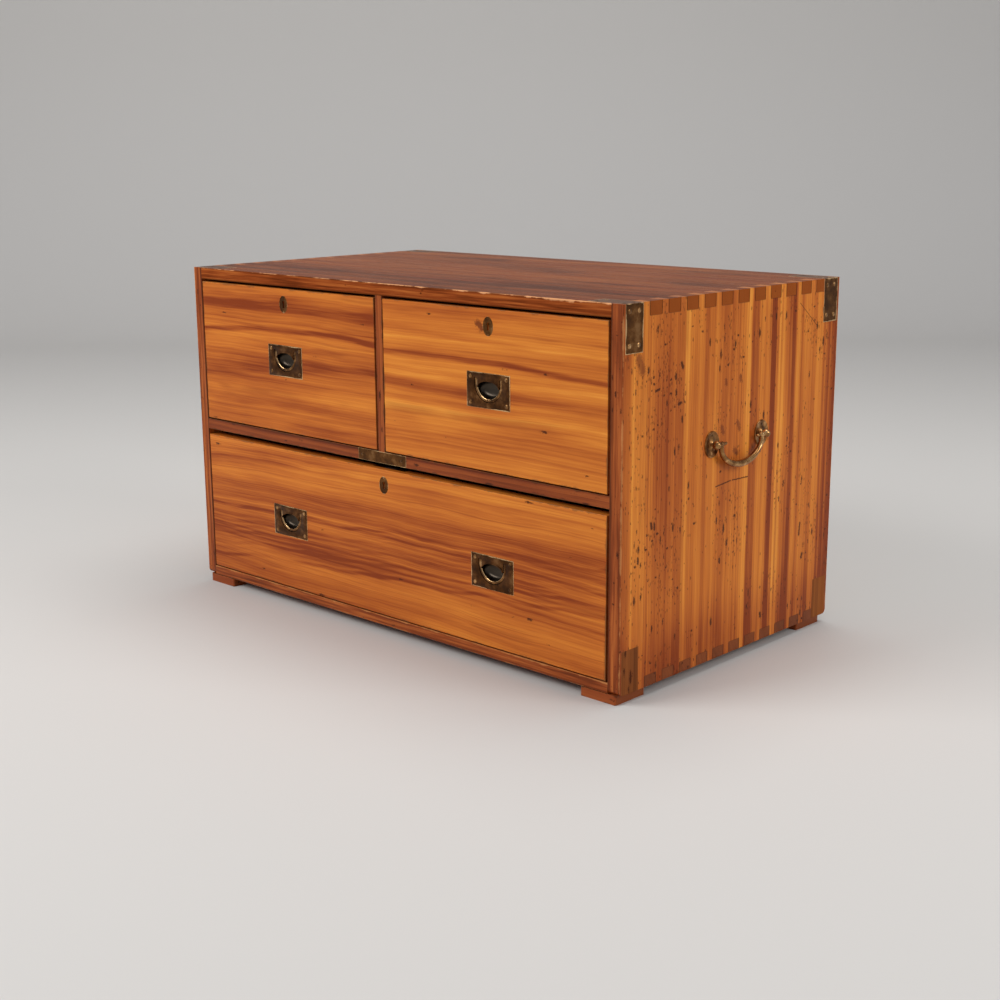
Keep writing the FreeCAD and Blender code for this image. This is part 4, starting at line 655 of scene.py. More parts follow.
for drawer, wood in zip(DRAWERS, (left_wood, right_wood, long_wood)):
    low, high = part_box(drawer + "_front")
    wood.paint(LIFTS[drawer])
    if drawer == "drawer_right":
        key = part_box("drawer_right_key_plate")[0]
        ends = [(key.x + x, low.y, key.z + z) for x, z in (STAIN_FROM, STAIN_TO)]
        wood.stain(wood.mark(*ends, STAIN_WIDTH), BRUISE, 0.8)
    wood.end_grain(low.x, high.x)
    wood.flecks(0.10, 90.0, 0.30, 0.18, seed=low.x)
    wood.add_dirt_and_shade(wood.edge_mask((low - SIDE_ROOM, high + SIDE_ROOM), EDGE_DARK_REACH), 0.5)
    wood.wear_and_highlight((low, high), RUB_REACH)
    dress(drawer + "_front", wood.finish())
    print(drawer, "front finished")

# %% [markdown]
# ## The end boards
# The right end is the face that the photograph shows best: upright stripes of gold and red-brown,
# many dark flecks and bruises, and the light ends of the pins between the dark tails. Its stripes
# and the density of its flecks are told as stops from front to back.

# %% What the end boards are like
# Middles of the first and last pin in millimetres, the number of pins, and half a pin's width
FIRST_PIN, LAST_PIN, PIN_COUNT = -207.3, 224.3, 12
PIN_PITCH = (LAST_PIN - FIRST_PIN) / (PIN_COUNT - 1) * MM
PIN_HALF = 6.9 * MM
CASE_LOW, CASE_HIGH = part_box("side_right")[0].z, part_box("side_right")[1].z
BASE_TOP, UNDER_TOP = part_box("bottom_panel")[1].z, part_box("top_panel")[0].z
JOINED_MIDDLE = (FIRST_PIN + LAST_PIN) / 2 * MM
JOINED_HALF = (LAST_PIN - FIRST_PIN) / 2 * MM + PIN_HALF + 0.002

# Stripes of the right end from front to back: place in mm, and tone from 0 (dark) to 1 (light)
STRIPES = [(-254, 0.30), (-238, 0.30), (-234, 0.72), (-209, 0.66), (-193, 0.56), (-189, 0.36),
           (-126, 0.42), (-122, 0.74), (-113, 0.70), (-109, 0.58), (-57, 0.58), (-50, 0.46),
           (9, 0.50), (13, 0.84), (29, 0.82), (32, 0.24), (48, 0.28), (51, 0.70), (79, 0.66),
           (81, 0.20), (91, 0.24), (93, 0.84), (113, 0.80), (117, 0.50), (130, 0.46), (132, 0.22),
           (140, 0.28), (148, 0.68), (186, 0.64), (190, 0.40), (213, 0.72), (230, 0.18)]
# Share of the board's own figure that the stripes take away
CALMED = 0.15

# Share of the cells that hold a dark fleck, from front to back
FLECKED = [(-254, 0.30), (-205, 0.40), (-190, 0.90), (-150, 1.00), (-128, 0.90), (-118, 0.16),
           (-60, 0.20), (-45, 0.55), (5, 0.60), (20, 0.16), (40, 0.45), (60, 0.16), (130, 0.45),
           (160, 0.20), (188, 0.70), (215, 0.50), (254, 0.40)]
FLECKED_LEFT = 0.30
print("pins every", round(PIN_PITCH / MM, 2), "mm, and", len(STRIPES), "stops of stripes")

# %% [markdown]
# ## Dirt in the dovetails
# The dovetails themselves are cut in the boards, but their joints are closed, so only dirt shows
# them. One mask repeats with the pins. It is held to the stretch where pins and tails run, or it
# would draw lines on the front face.

# %% Masks for the dovetails


def joined(wood):
    """One where the row of pins and tails runs, and none in front of it or behind it."""
    away = wood.web.math("ABSOLUTE", wood.web.math("SUBTRACT", wood.across, JOINED_MIDDLE))
    return wood.web.math("LESS_THAN", away, JOINED_HALF)


def joint_masks(wood, width):
    """The lines beside the pins, and where a pin is."""
    return wood.web.use(joint_group, Across=wood.across, First=FIRST_PIN * MM, Pitch=PIN_PITCH,
                        Half=PIN_HALF, Width=width)


def both(web, *masks):
    """Where all the masks are."""
    whole = masks[0]
    for mask in masks[1:]:
        whole = web.math("MULTIPLY", whole, mask)
    return whole


print("the joints run over", round(2 * JOINED_HALF / MM), "mm")

# %% [markdown]
# ## Finishing an end board
# Both end boards go through one function. Only the right end has the known stripes; the left one
# keeps the figure that its seed gives it. Dirt lies beside the pins and along the shoulders of the
# tails, and the front edge is streaked and red like the rest of the frame, with painted shade along
# its inner side next to the drawers.

# %% One end board
FACE_REACH = 0.0012
LINE_WIDTH, SHOULDER_WIDTH = 0.0009, (0.0003, 0.0013)


def end_board_finish(side, seed):
    """Stripes, joints and flecks of one end board; side is 1 for the right end."""
    label = "right" if side > 0 else "left"
    low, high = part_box("side_" + label)
    wood = Timber("end_board_wood_" + label, "z", HONEY, seed, sway=0.012, bands=44.0)
    web = wood.web
    flecked = FLECKED_LEFT
    if side > 0:
        wood.start_ripple(seed, 0.006)
        wood.stripes(STRIPES, low.y, high.y, CALMED)
        flecked = wood.across_ramp(FLECKED, low.y, high.y)
    # The tone is darker towards the bottom of the board.
    darker_low_down = web.fade(wood.along, 0.035, 0.13, -0.30, 0.0)
    wood.tone = web.math("ADD", wood.tone, darker_low_down)
    wood.paint(-0.04)
    joint = joint_masks(wood, LINE_WIDTH)
    tail_ends = web.math("MAXIMUM", web.math("GREATER_THAN", wood.along, UNDER_TOP),
                         web.math("LESS_THAN", wood.along, BASE_TOP))
    wood.add_dirt_and_shade(both(web, joint["Mask"], tail_ends, joined(wood)), 0.75)
    to_top, to_base = (web.math("ABSOLUTE", web.math("SUBTRACT", wood.along, level))
                       for level in (UNDER_TOP, BASE_TOP))
    shoulder = web.fade(web.math("MINIMUM", to_top, to_base), *SHOULDER_WIDTH, 1.0, 0.0)
    between_pins = web.math("SUBTRACT", 1.0, joint["Inside"])
    wood.add_dirt_and_shade(both(web, shoulder, joined(wood), between_pins), 0.65)
    wood.end_grain(CASE_LOW, CASE_HIGH, PIN_END, 0.5)
    front = web.math("LESS_THAN", wood.across, low.y + FACE_REACH)
    wood.front_edge(front)
    inner = min(abs(low.x), abs(high.x))
    # Painted shade: the front edge is darker along its inner side, next to the gap beside the drawers.
    gap_shade = web.fade(web.math("ABSOLUTE", wood.depth), inner + ARRIS, inner + 0.0040, 0.75, 0.0)
    wood.add_dirt_and_shade(web.math("MULTIPLY", gap_shade, front))
    wood.flecks(flecked, 120.0, 0.36, 0.32, seed=seed)
    wood.flecks(web.math("MULTIPLY", flecked, 0.7), 85.0, 1.3, 0.24, seed=seed + 3)
    wood.flecks(flecked, 290.0, 0.45, 0.40, seed=seed + 5, amount=0.6)
    # The inner face and both ends meet other boards, so the box that wears is longer on those sides
    longer_low = Vector((-1.0 if side > 0 else 0.0, 0, -1.0))
    longer_high = Vector((0.0 if side > 0 else 1.0, 0, 1.0))
    wood.wear_and_highlight((low + longer_low, high + longer_high), 0.0020, amount=0.45)
    return wood


right_end, left_end = end_board_finish(1, 21.7), end_board_finish(-1, 33.2)
print("end boards:", right_end.material.name, "and", left_end.material.name)

# %% [markdown]
# ## Scratches and bruises
# The marks that catch the eye on the right end are placed one by one: a long scratch under the
# handle, a thin one near the rear plate, and bruises where the handle has knocked. Each is a line
# between two places on the face, with its width, all in millimetres.

# %% Known marks of the right end
FACE_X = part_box("side_right")[1].x


def on_end(y, z):
    """A place on the right end's face, from millimetres."""
    return (FACE_X, y * MM, z * MM)


SCRATCHES = [((-47, 265.5), (-12, 268.5), 1.3), ((-8, 268.5), (30, 267.5), 1.2),
             ((151, 503), (200, 465), 0.7), ((-131, 447), (-128, 441), 3.6),
             ((-136, 393), (-131, 394), 3.4), ((-186, 416), (-178, 418), 2.6),
             ((172, 173), (170, 155), 2.6), ((181, 124), (179, 118), 3.4),
             ((73, 55), (74, 50), 3.6), ((-191, 240), (-190, 233), 3.4)]
BRUISES = [((-36, 348), (-32, 340), 5), ((2, 350), (6, 340), 5), ((-4, 311), (2, 306), 6),
           ((-29, 412), (-28, 407), 4), ((5, 414), (6, 408), 4), ((-222, 462), (-214, 446), 9)]
scratched, bruised = (right_end.marks([(on_end(*begin), on_end(*stop), width * MM)
                                       for begin, stop, width in rows])
                      for rows in (SCRATCHES, BRUISES))
right_end.add_dirt_and_shade(scratched, 0.9)
right_end.stain(bruised, BRUISE, 0.6)
dress("side_right", right_end.finish(roughness=0.38))
dress("side_left", left_end.finish(roughness=0.38))
print(len(SCRATCHES), "scratches and", len(BRUISES), "bruises")

# %% [markdown]
# ## The top board
# The top is darker than the rest, with dark streaks along it that are a painted reflection. At its
# two ends the tails show their end grain, and a pale line along the glue seam is a painted
# reflection. Its front arris is worn pale and chipped, with a painted highlight, more so towards
# the right. Its front face is darker along its lower edge, as painted shade above the drawers.

# %% Finish the top board
# The tails reach in from the end by the thickness of an end board and a little more
INNER_X = FACE_X - 20.5 * MM
SEAM_PLACE, SEAM_WIDTH = 0.213, (0.0004, 0.0012)
FRONT_REACH, TOP_REACH = 1.0 * MM, 1.3 * MM


def tail_dirt(wood):
    """Dirt in the joints round the tails of a board."""
    web = wood.web
    near_end = web.math("GREATER_THAN", web.math("ABSOLUTE", wood.along), INNER_X)
    wood.add_dirt_and_shade(both(web, joint_masks(wood, 0.0010)["Mask"], near_end, joined(wood)), 0.8)


low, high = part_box("top_panel")
wood = Timber("top_panel_wood", "top", TOP_RED, 41.0, sway=0.05, bands=9.0)
wood.start_ripple(41.0, 0.02)
wood.belt(0.30, -0.165, tilt=0.03, half=0.012, soft=0.045)
wood.belt(-0.3, 0.05, middle=0.1, half=0.02, soft=0.06)
wood.belt(0.3, -0.05, middle=0.1, tilt=-0.02, half=0.002, soft=0.015)
wood.paint()
web = wood.web
# Painted reflection: dark streaks along the grain stand for dark surroundings mirrored in the polish.
reflection_streaks = web.noise(web.join(web.math("MULTIPLY", wood.along, 5.0),
                            web.math("MULTIPLY", wood.across, 16.0), wood.depth), 1.0, 3.0)
wood.stain(web.fade(reflection_streaks, 0.55, 0.75), DARK_REFLECTION, 0.5)
below_top = web.math("LESS_THAN", wood.depth, high.z - TOP_REACH)
at_front = web.math("LESS_THAN", wood.across, low.y + FRONT_REACH)
front_face = web.math("MULTIPLY", below_top, at_front)
wood.front_edge(front_face)
# Painted shade: the front face darkens towards its lower edge, above the gap over the drawers.
wood.add_dirt_and_shade(web.math("MULTIPLY", web.fade(wood.depth, low.z, low.z + 0.0035, 0.8, 0.0), front_face))
wood.end_grain(low.x, high.x, TAIL_END, 0.75)
tail_dirt(wood)
# Painted reflection: a pale line along the glue seam.
seam = web.math("ABSOLUTE", web.math("SUBTRACT", wood.across, SEAM_PLACE))
wood.stain(web.fade(seam, *SEAM_WIDTH, 1.0, 0.0), SEAM_REFLECTION, 0.6)
wood.flecks(0.30, 70.0, 0.5, 0.20, seed=4.0)
# Wear and painted highlight: the front arris is rubbed pale, more towards the right.
rub_and_highlight_reach = web.fade(wood.along, -0.20, 0.42, 0.0009, 0.0030)
long_box = (low - Vector((1, 0, 1)), high + Vector((1, 0, 0)))
wood.wear_and_highlight(long_box, rub_and_highlight_reach, colour=TOP_WEAR_AND_HIGHLIGHT, amount=0.9)
dress("top_panel", wood.finish(roughness=0.28, specular=0.006))
print("top board finished, with a seam at", SEAM_PLACE)

# %% [markdown]
# ## The bottom board
# The bottom shows its front edge and the ends of its tails. It is red and darker than the end
# boards, with the same dirt in its joints and a rubbed lower arris.

# %% Finish the bottom board
low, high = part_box("bottom_panel")
wood = Timber("bottom_panel_wood", "top", RED, 47.0, sway=0.05, bands=9.0)
wood.paint()
wood.front_edge(wood.web.math("LESS_THAN", wood.across, low.y + FRONT_REACH))
wood.end_grain(low.x, high.x)
tail_dirt(wood)
wood.flecks(0.40, 90.0, 0.4, 0.22, seed=9.0)
wood.wear_and_highlight((low - Vector((1, 0, 0)), high + Vector((1, 0, 0))), 0.0020)
dress("bottom_panel", wood.finish())
print("bottom board finished")

# %% [markdown]
# ## The other boards
# The rail and the upright are redder than the drawer fronts. What is inside was never polished, so
# it is paler and duller. A loop gives each its own seed, so that no two boards are alike.

# %% A plain board
GAP_WIDTH = (0.0005, 0.0016)


def plain_finish(node, grain, palette, seed, polished, bands=20.0, seams=()):
    """A board with flecks and worn edges but no belts; seams are gaps between boards side by side."""
    low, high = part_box(node)
    wood = Timber(node + "_wood", grain, palette, seed, sway=0.02, bands=bands)
    wood.paint()
    for level in seams:
        gap = wood.web.math("ABSOLUTE", wood.web.math("SUBTRACT", wood.across, level))
        wood.add_dirt_and_shade(wood.web.fade(gap, *GAP_WIDTH, 1.0, 0.0), 0.85)
    grain_axis = GRAIN_AXES[grain][0]
    wood.end_grain(low[grain_axis], high[grain_axis])
    wood.flecks(0.08 if palette is LINING else 0.7, 100.0, 0.3, 0.30, seed=seed)
    # The ends of a board meet other boards, so the box that wears is longer than the board
    past_ends = Vector([1.0 if axis == grain_axis else 0.0 for axis in range(3)])
    low, high = low - past_ends, high + past_ends
    # Polished boards are darker along their edges.
    if polished:
        wood.add_dirt_and_shade(wood.edge_mask((low - SIDE_ROOM, high + SIDE_ROOM), EDGE_DARK_REACH), 0.75)
    wood.wear_and_highlight((low, high), RUB_REACH, amount=0.35 if polished else 0.2)
    dress(node, wood.finish() if polished else wood.finish(roughness=0.62, specular=0.08))


for number, (node, grain) in enumerate((("mid_rail", "x"), ("centre_partition", "z"))):
    plain_finish(node, grain, RED, 50.0 + number * 3.7, True, bands=90.0)
print("rail and upright finished")

# %% [markdown]
# ## The lining, the patches and the feet
# The wood inside the case, the patches where corner plates are lost, the feet and the drawer boxes
# go through the same function. The back is three boards side by side, with dark gaps between them.

# %% Finish the lining, the patches, the feet and the drawer boxes
BACK_SEAMS = (0.1883, 0.3567)
CASE_LINING = [("side_runners", "y"), ("centre_runner", "y"), ("dust_panels", "y"),
               ("drawer_stops", "x"), ("back_boards", "x"), ("corner_patches", "z")]
for number, (node, grain) in enumerate(CASE_LINING, 2):
    palette = PATCH if node == "corner_patches" else LINING
    seams = BACK_SEAMS if node == "back_boards" else ()
    plain_finish(node, grain, palette, 50.0 + number * 3.7, False, seams=seams)
feet = sorted(name for name in nodes if name.startswith("foot_"))
for number, node in enumerate(feet):
    plain_finish(node, "x", FOOT, 80.0 + number * 2.3, True)
for number, drawer in enumerate(DRAWERS):
    for part, grain in (("side_left", "y"), ("side_right", "y"), ("back", "x"), ("bottom", "top")):
        plain_finish(drawer + "_" + part, grain, LINING, 100.0 + number * 7.9, False)
print(len(CASE_LINING), "nodes in the case,", len(feet), "feet,", len(DRAWERS), "drawer boxes")

# %% [markdown]
# ## Aged brass
# Brass left alone for a century is dark brown, and bright only where hands and cloths reach:
# its edges and raised places. The tarnish is noise at two scales, and the bright wear, with a
# painted highlight, follows the same edge distance as the wood; a bail has a painted highlight on
# its inner rim. Fine specks of grime break up the gloss, and the recess of a pull is painted near
# black as shade.

# %% Brass
TARNISH = (0.045, 0.016, 0.004, 1)
BROWN = (0.125, 0.045, 0.010, 1)
GOLDEN = (0.42, 0.20, 0.065, 1)
BRIGHT_WEAR_AND_HIGHLIGHT = (0.90, 0.58, 0.28, 1)
GRIME_AND_RECESS_SHADE = (0.014, 0.006, 0.003, 1)
BOWL_DARK = (0.052, 0.040, 0.029, 1)
PLATE_TOP = (0.17, 0.062, 0.024, 1)
CLOUD_SCALE, SPECK_SCALE = 55.0, 420.0
BRASS_BUMP = 0.05 * MM


def brass_finish(name, box=None, reach=0.0010, shine=0.30, rubbing=0.25, dark=TARNISH, light=BROWN,
                 bowl=None, ring=None, lid=None, speckle=0.6):
    """
    Brass with tarnish clouds from dark to light, rubbed bright in places.

    A box has rubbed edges with a painted highlight. A ring, told as its middle and radius, has a
    painted highlight on its inner rim. A lid is the level of a top face that is browner, and bowl the
    Y of a face behind which the recess is painted dark as shade, with dark brass deeper in the bowl.
    """
    material = bpy.data.materials.new(name)
    material.use_nodes = True
    material.node_tree.nodes.clear()
    web = Web(material.node_tree)
    place = web.put("TexCoord").outputs["Object"]
    cloud = web.noise(place, CLOUD_SCALE, 4.0, 0.6)
    speck = web.noise(place, SPECK_SCALE, 3.0, 0.6)
    colour = web.mix(web.fade(cloud, 0.35, 0.65), dark, light)
    colour = web.mix(web.fade(speck, 0.60, 0.75, 0.0, speckle), colour, GRIME_AND_RECESS_SHADE)
    rubbed_and_highlit = web.fade(cloud, 0.50, 0.75, 0.0, rubbing)
    # Rubbed edges: wear with a painted highlight.
    if box is not None:
        distance = web.use(edge_group, Place=place, Low=box[0], High=box[1])["Distance"]
        edge = web.use(wear_group, Place=place, Distance=distance, Reach=reach)["Mask"]
        rubbed_and_highlit = web.math("MAXIMUM", rubbed_and_highlit, web.math("MULTIPLY", edge, 0.95))
    # Painted highlight along the inner rim of a bail.
    if ring is not None:
        flat = web.vector("MULTIPLY", web.vector("SUBTRACT", place, ring[0]), (1, 0, 1))
        from_rim = web.math("ABSOLUTE", web.math("SUBTRACT", web.vector("LENGTH", flat), ring[1]))
        rubbed_and_highlit = web.math("MAXIMUM", rubbed_and_highlit, web.fade(from_rim, 0.0004, 0.0014, 0.8, 0.0))
    if lid is not None:
        on_top = web.math("GREATER_THAN", web.split(place)[2], lid - ARRIS)
        colour = web.mix(on_top, colour, PLATE_TOP)
    colour = web.mix(rubbed_and_highlit, colour, BRIGHT_WEAR_AND_HIGHLIGHT)
    rough = web.math("MULTIPLY_ADD", speck, 0.28, shine)
    rough = web.math("MULTIPLY_ADD", rubbed_and_highlit, -0.12, rough)
    # Painted shade: behind the plate's face the recess turns near black; deeper in, the bowl has its own
    # dark brass.
    if bowl is not None:
        depth = web.math("SUBTRACT", web.split(place)[1], bowl)
        colour = web.mix(web.fade(depth, 0.0006, 0.0012), colour, GRIME_AND_RECESS_SHADE)
        inside = web.fade(depth, 0.0035, 0.0065)
        colour = web.mix(inside, colour, BOWL_DARK)
        rough = web.math("MULTIPLY_ADD", inside, -0.04, rough)
    shader = web.put("BsdfPrincipled")
    web.feed(shader.inputs["Base Color"], colour)
    shader.inputs["Metallic"].default_value = 0.92
    web.feed(shader.inputs["Roughness"], rough)
    bump = web.put("Bump")
    bump.inputs["Distance"].default_value = BRASS_BUMP
    web.feed(bump.inputs["Height"], web.math("ADD", speck, cloud))
    web.feed(shader.inputs["Normal"], bump.outputs[0])
    web.feed(web.put("OutputMaterial").inputs["Surface"], shader.outputs[0])
    return material


handle_brass = brass_finish("handle_brass", shine=0.10, rubbing=0.9, dark=(0.24, 0.105, 0.032, 1),
                            light=(0.50, 0.27, 0.10, 1), speckle=0.15)
rose_brass = brass_finish("rose_brass", shine=0.20, rubbing=0.5, light=GOLDEN, dark=BROWN, speckle=0.35)
screw_brass = brass_finish("screw_brass", shine=0.18, rubbing=0.8, light=GOLDEN)
lock_brass = brass_finish("lock_brass", shine=0.40, rubbing=0.40)
print("brass for handles, roses, screws and locks")

# %% [markdown]
# ## Brass of the flat fittings
# The corner plates, the strap on the rail and the key plates keep their CAD shape. Each gets its
# own olive brown brass, because the rubbed edge, with its painted highlight, follows the box of the
# piece itself.

# %% Dress the flat fittings
OLIVE_DARK = (0.072, 0.026, 0.005, 1)
OLIVE_LIGHT = (0.17, 0.064, 0.013, 1)
for node in sorted(nodes):
    if node.startswith("corner_plate_"):
        plate_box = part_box(node)
        dress(node, brass_finish(node + "_brass", plate_box, 0.0020, 0.30, 0.12, OLIVE_DARK, OLIVE_LIGHT,
                                 lid=plate_box[1].z, speckle=0.45))
    elif node == "rail_strap" or node.endswith("_key_plate"):
        dress(node, brass_finish(node + "_brass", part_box(node), 0.0010, 0.30, 0.15, OLIVE_DARK,
                                 OLIVE_LIGHT, speckle=0.45))
dress("handle_nuts", lock_brass)
for drawer in DRAWERS:
    dress(drawer + "_lock_case", lock_brass)
print("brass materials:", len([m for m in bpy.data.materials if "brass" in m.name]))

# %% [markdown]
# ## Steel
# The lock bolts are plain steel, dull and finely brushed. Noise that is squeezed along the bolt
# gives the fine lines, in the colour and in the gloss.

# %% Steel for the bolts
steel = bpy.data.materials.new("lock_steel")
steel.use_nodes = True
steel.node_tree.nodes.clear()
web = Web(steel.node_tree)
x, y, z = web.split(web.put("TexCoord").outputs["Object"])
brushed = web.noise(web.join(web.math("MULTIPLY", x, 60.0), y, web.math("MULTIPLY", z, 1800.0)))
shader = web.put("BsdfPrincipled")
web.feed(shader.inputs["Base Color"], web.mix(brushed, (0.22, 0.20, 0.18, 1), (0.42, 0.40, 0.37, 1)))
shader.inputs["Metallic"].default_value = 1.0
web.feed(shader.inputs["Roughness"], web.fade(brushed, 0.2, 0.8, 0.35, 0.6))
web.feed(web.put("OutputMaterial").inputs["Surface"], shader.outputs[0])
for drawer in DRAWERS:
    dress(drawer + "_lock_bolt", steel)
print("steel is on", len(DRAWERS), "bolts")

# %% [markdown]
# ## Sweeping a ring of edges
# Most of the fittings are one section carried along a path. A sweep starts from a circle of edges,
# squared a little if wished, and extrudes it from station to station. A station is a matrix that
# says where the ring goes, which way it faces and how wide and thick it is there.

# %% Sweep


def extruded(bm, edges):
    """Extrude edges in place and return the new vertices and edges."""
    grown = bmesh.ops.extrude_edge_only(bm, edges=edges)["geom"]
    return ([item for item in grown if isinstance(item, bmesh.types.BMVert)],
            [item for item in grown if isinstance(item, bmesh.types.BMEdge)])


def sweep(bm, stations, segments, squareness=1.0):
    """Extrude a ring of edges from station to station and fill both ends."""
    ring = bmesh.ops.create_circle(bm, segments=segments, radius=1.0)["verts"]
    for vert in ring:
        if squareness != 1.0:
            vert.co.x = math.copysign(abs(vert.co.x) ** squareness, vert.co.x)
            vert.co.y = math.copysign(abs(vert.co.y) ** squareness, vert.co.y)
    edges = list(dict.fromkeys(edge for vert in ring for edge in vert.link_edges))
    ends = [edges]
    bmesh.ops.transform(bm, matrix=stations[0], verts=ring)
    for before, after in zip(stations, stations[1:]):
        verts, edges = extruded(bm, edges)
        bmesh.ops.transform(bm, matrix=after @ before.inverted(), verts=verts)
    ends.append(edges)
    for loop in ends:
        bmesh.ops.contextual_create(bm, geom=loop)


def station(place, forward, side, wide, thick):
    """A matrix that puts the ring's X along side, and its axis along forward."""
    forward = Vector(forward).normalized()
    side = Vector(side).normalized()
    third = forward.cross(side)
    turn = Matrix((side * wide, third * thick, forward)).transposed().to_4x4()
    return Matrix.Translation(place) @ turn


print("sweep and station are ready")

# %% [markdown]
# ## Turning on a lathe
# Round parts are turned: an outline of heights and radii is spun round the Z axis, and the result
# is stood on its place, pointing outwards. The spin merges its last row with its first, and the
# points on the axis become one pole.

# %% Lathe
MERGE = 1e-7


def lathe(bm, outline, steps):
    """Spin an outline of (height, radius) points round the Z axis."""
    verts = [bm.verts.new((radius, 0, height)) for height, radius in outline]
    edges = [bm.edges.new(pair) for pair in zip(verts, verts[1:])]
    bmesh.ops.spin(bm, geom=verts + edges, axis=(0, 0, 1), cent=(0, 0, 0), steps=steps,
                   angle=math.tau, use_merge=True, use_duplicate=False)
    bmesh.ops.remove_doubles(bm, verts=bm.verts[:], dist=MERGE)


def stood(place, outward, track="Y"):
    """A matrix that stands something made on Z at a place, pointing outward."""
    return Matrix.Translation(place) @ Vector(outward).to_track_quat("Z", track).to_matrix().to_4x4()


def as_mesh(name, bm):
    """Turn a bmesh into a mesh and free it."""
    mesh = bpy.data.meshes.new(name)
    bm.to_mesh(mesh)
    bm.free()
    return mesh


def add_turned(bm, outline, steps, matrix):
    """Turn a part on the lathe and add it to a mesh."""
    part = bmesh.new()
    lathe(part, outline, steps)
    bmesh.ops.transform(part, matrix=matrix, verts=part.verts[:])
    mesh = as_mesh("part", part)
    bm.from_mesh(mesh)
    bpy.data.meshes.remove(mesh)


def arc_points(centre, radius, first, last, count):
    """Points (height, radius) of an arc round a point on the axis, in degrees from the axis."""
    turns = [math.radians(first + (last - first) * i / count) for i in range(count + 1)]
    return [(centre - radius * math.cos(turn), radius * math.sin(turn)) for turn in turns]


print("the lathe merges points closer than", MERGE, "m")

# %% [markdown]
# ## Hanging a piece on its body
# A finished mesh has its doubles merged and its faces turned outwards. It becomes an object with
# one material, rides on its body and hides the CAD nodes that it replaces.

# %% Finish and hang
SHARP_ANGLE = 35


def finished_piece(name, bm, body, material, replaces=()):
    """Close the mesh of a bmesh and hang it on its body."""
    bmesh.ops.remove_doubles(bm, verts=bm.verts[:], dist=MERGE)
    bmesh.ops.recalc_face_normals(bm, faces=bm.faces[:])
    return hang(name, as_mesh(name, bm), body, material, replaces)


def hang(name, mesh, body, material, replaces=()):
    """Make a smooth object of a mesh, on its body."""
    mesh.polygons.foreach_set("use_smooth", [True] * len(mesh.polygons))
    mesh.set_sharp_from_angle(angle=math.radians(SHARP_ANGLE))
    mesh.materials.clear()
    mesh.materials.append(material)
    piece = bpy.data.objects.new(name, mesh)
    bpy.context.scene.collection.objects.link(piece)
    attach(piece, body)
    if replaces:
        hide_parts(*replaces)
    return piece


BODY_OF = {node: body for body, members in frame["record"]["behaviour"]["bodies"].items()
           for node in members}
PIVOTS = {joint["child"]: Vector(joint["pos_m"]) for joint in frame["joints"] if "pos_m" in joint}
print("pivots:", sorted(PIVOTS))

# %% [markdown]
# ## Drop handles
# The handle is one forged bar: thin at its arms and swollen at the grip. A sweep along a half oval
# with a changing radius gives that, and a lathe gives the short tapered finial and the spindle
# that turns in the post's ball.

# %% The two drop handles
ARM_REACH, GRIP_DROP, ARM_STRAIGHT = 49 * MM, 34 * MM, 4 * MM
ARM_RADIUS, GRIP_RADIUS, GRIP_FLATNESS = 3.7 * MM, 5.4 * MM, 0.94
SPINDLE_RADIUS, SPINDLE_END, FINIAL_LENGTH = 2.4 * MM, 66.5 * MM, 13 * MM
ARCH_STEPS = 40
# The rounded top of an arm: share of its radius that it rises, and share that is left there
ARM_CAP = [(0.92, 0.45), (0.80, 0.75), (0.55, 0.94)]
# Spindle, collar and finial as heights and radii along the pivot's line
FINIAL = [(-(SPINDLE_END - ARM_REACH), 0), (-(SPINDLE_END - ARM_REACH), SPINDLE_RADIUS),
          (-ARM_RADIUS - 0.6 * MM, SPINDLE_RADIUS), (-ARM_RADIUS, ARM_RADIUS * 1.02),
          (ARM_RADIUS * 0.6, ARM_RADIUS * 1.04), (ARM_RADIUS, 2.5 * MM), (5.2 * MM, 1.9 * MM),
          (7.5 * MM, 2.3 * MM), (10.5 * MM, 2.35 * MM), (12.4 * MM, 1.5 * MM), (FINIAL_LENGTH, 0)]


def cap_station(pivot, way, rise, share):
    """One ring of the rounded top of the front arm (way -1) or the rear arm (way 1)."""
    place = pivot + Vector((0, ARM_REACH * way, ARM_RADIUS * rise))
    return station(place, (0, 0, way), (1, 0, 0), ARM_RADIUS * share, ARM_RADIUS * share)


def handle_stations(pivot):
    """The bar from the top of its front arm round to the top of its rear arm."""
    stations = [cap_station(pivot, -1, *row) for row in ARM_CAP]
    drop = GRIP_DROP - ARM_STRAIGHT
    for i in range(ARCH_STEPS + 1):
        turn = math.pi * i / ARCH_STEPS
        place = pivot + Vector((0, -ARM_REACH * math.cos(turn), -ARM_STRAIGHT - drop * math.sin(turn)))
        forward = Vector((0, ARM_REACH * math.sin(turn), -drop * math.cos(turn)))
        radius = ARM_RADIUS + (GRIP_RADIUS - ARM_RADIUS) * math.sin(turn) ** 2.2
        stations.append(station(place, forward, (1, 0, 0), radius, radius * GRIP_FLATNESS))
    return stations + [cap_station(pivot, 1, *row) for row in reversed(ARM_CAP)]


for label in ("left", "right"):
    node = "carry_handle_" + label
    pivot = PIVOTS[node]
    bm = bmesh.new()
    sweep(bm, handle_stations(pivot), segments=20)
    for way in (-1, 1):
        arm = pivot + Vector((0, ARM_REACH * way, 0))
        add_turned(bm, FINIAL, 20, stood(arm, (0, -way, 0), "X"))
    piece = finished_piece(node + "_bar", bm, node, handle_brass, [node])
    print(piece.name, len(piece.data.polygons), "faces")

# %% [markdown]
# ## Roses and posts
# Each post is a ball on a short neck, turned on a lathe. It stands on an oval rose with a raised
# rim. The rose is a sweep of ovals: every station is the same oval, larger or smaller, a little
# further from the wood.

# %% The four roses and posts
POST_Y = 59.5 * MM
ROSE_ACROSS, ROSE_UP = 16.2, 18.8
BALL_RADIUS, BALL_OUT, NECK_RADIUS = 6.3, 9.0, 3.6
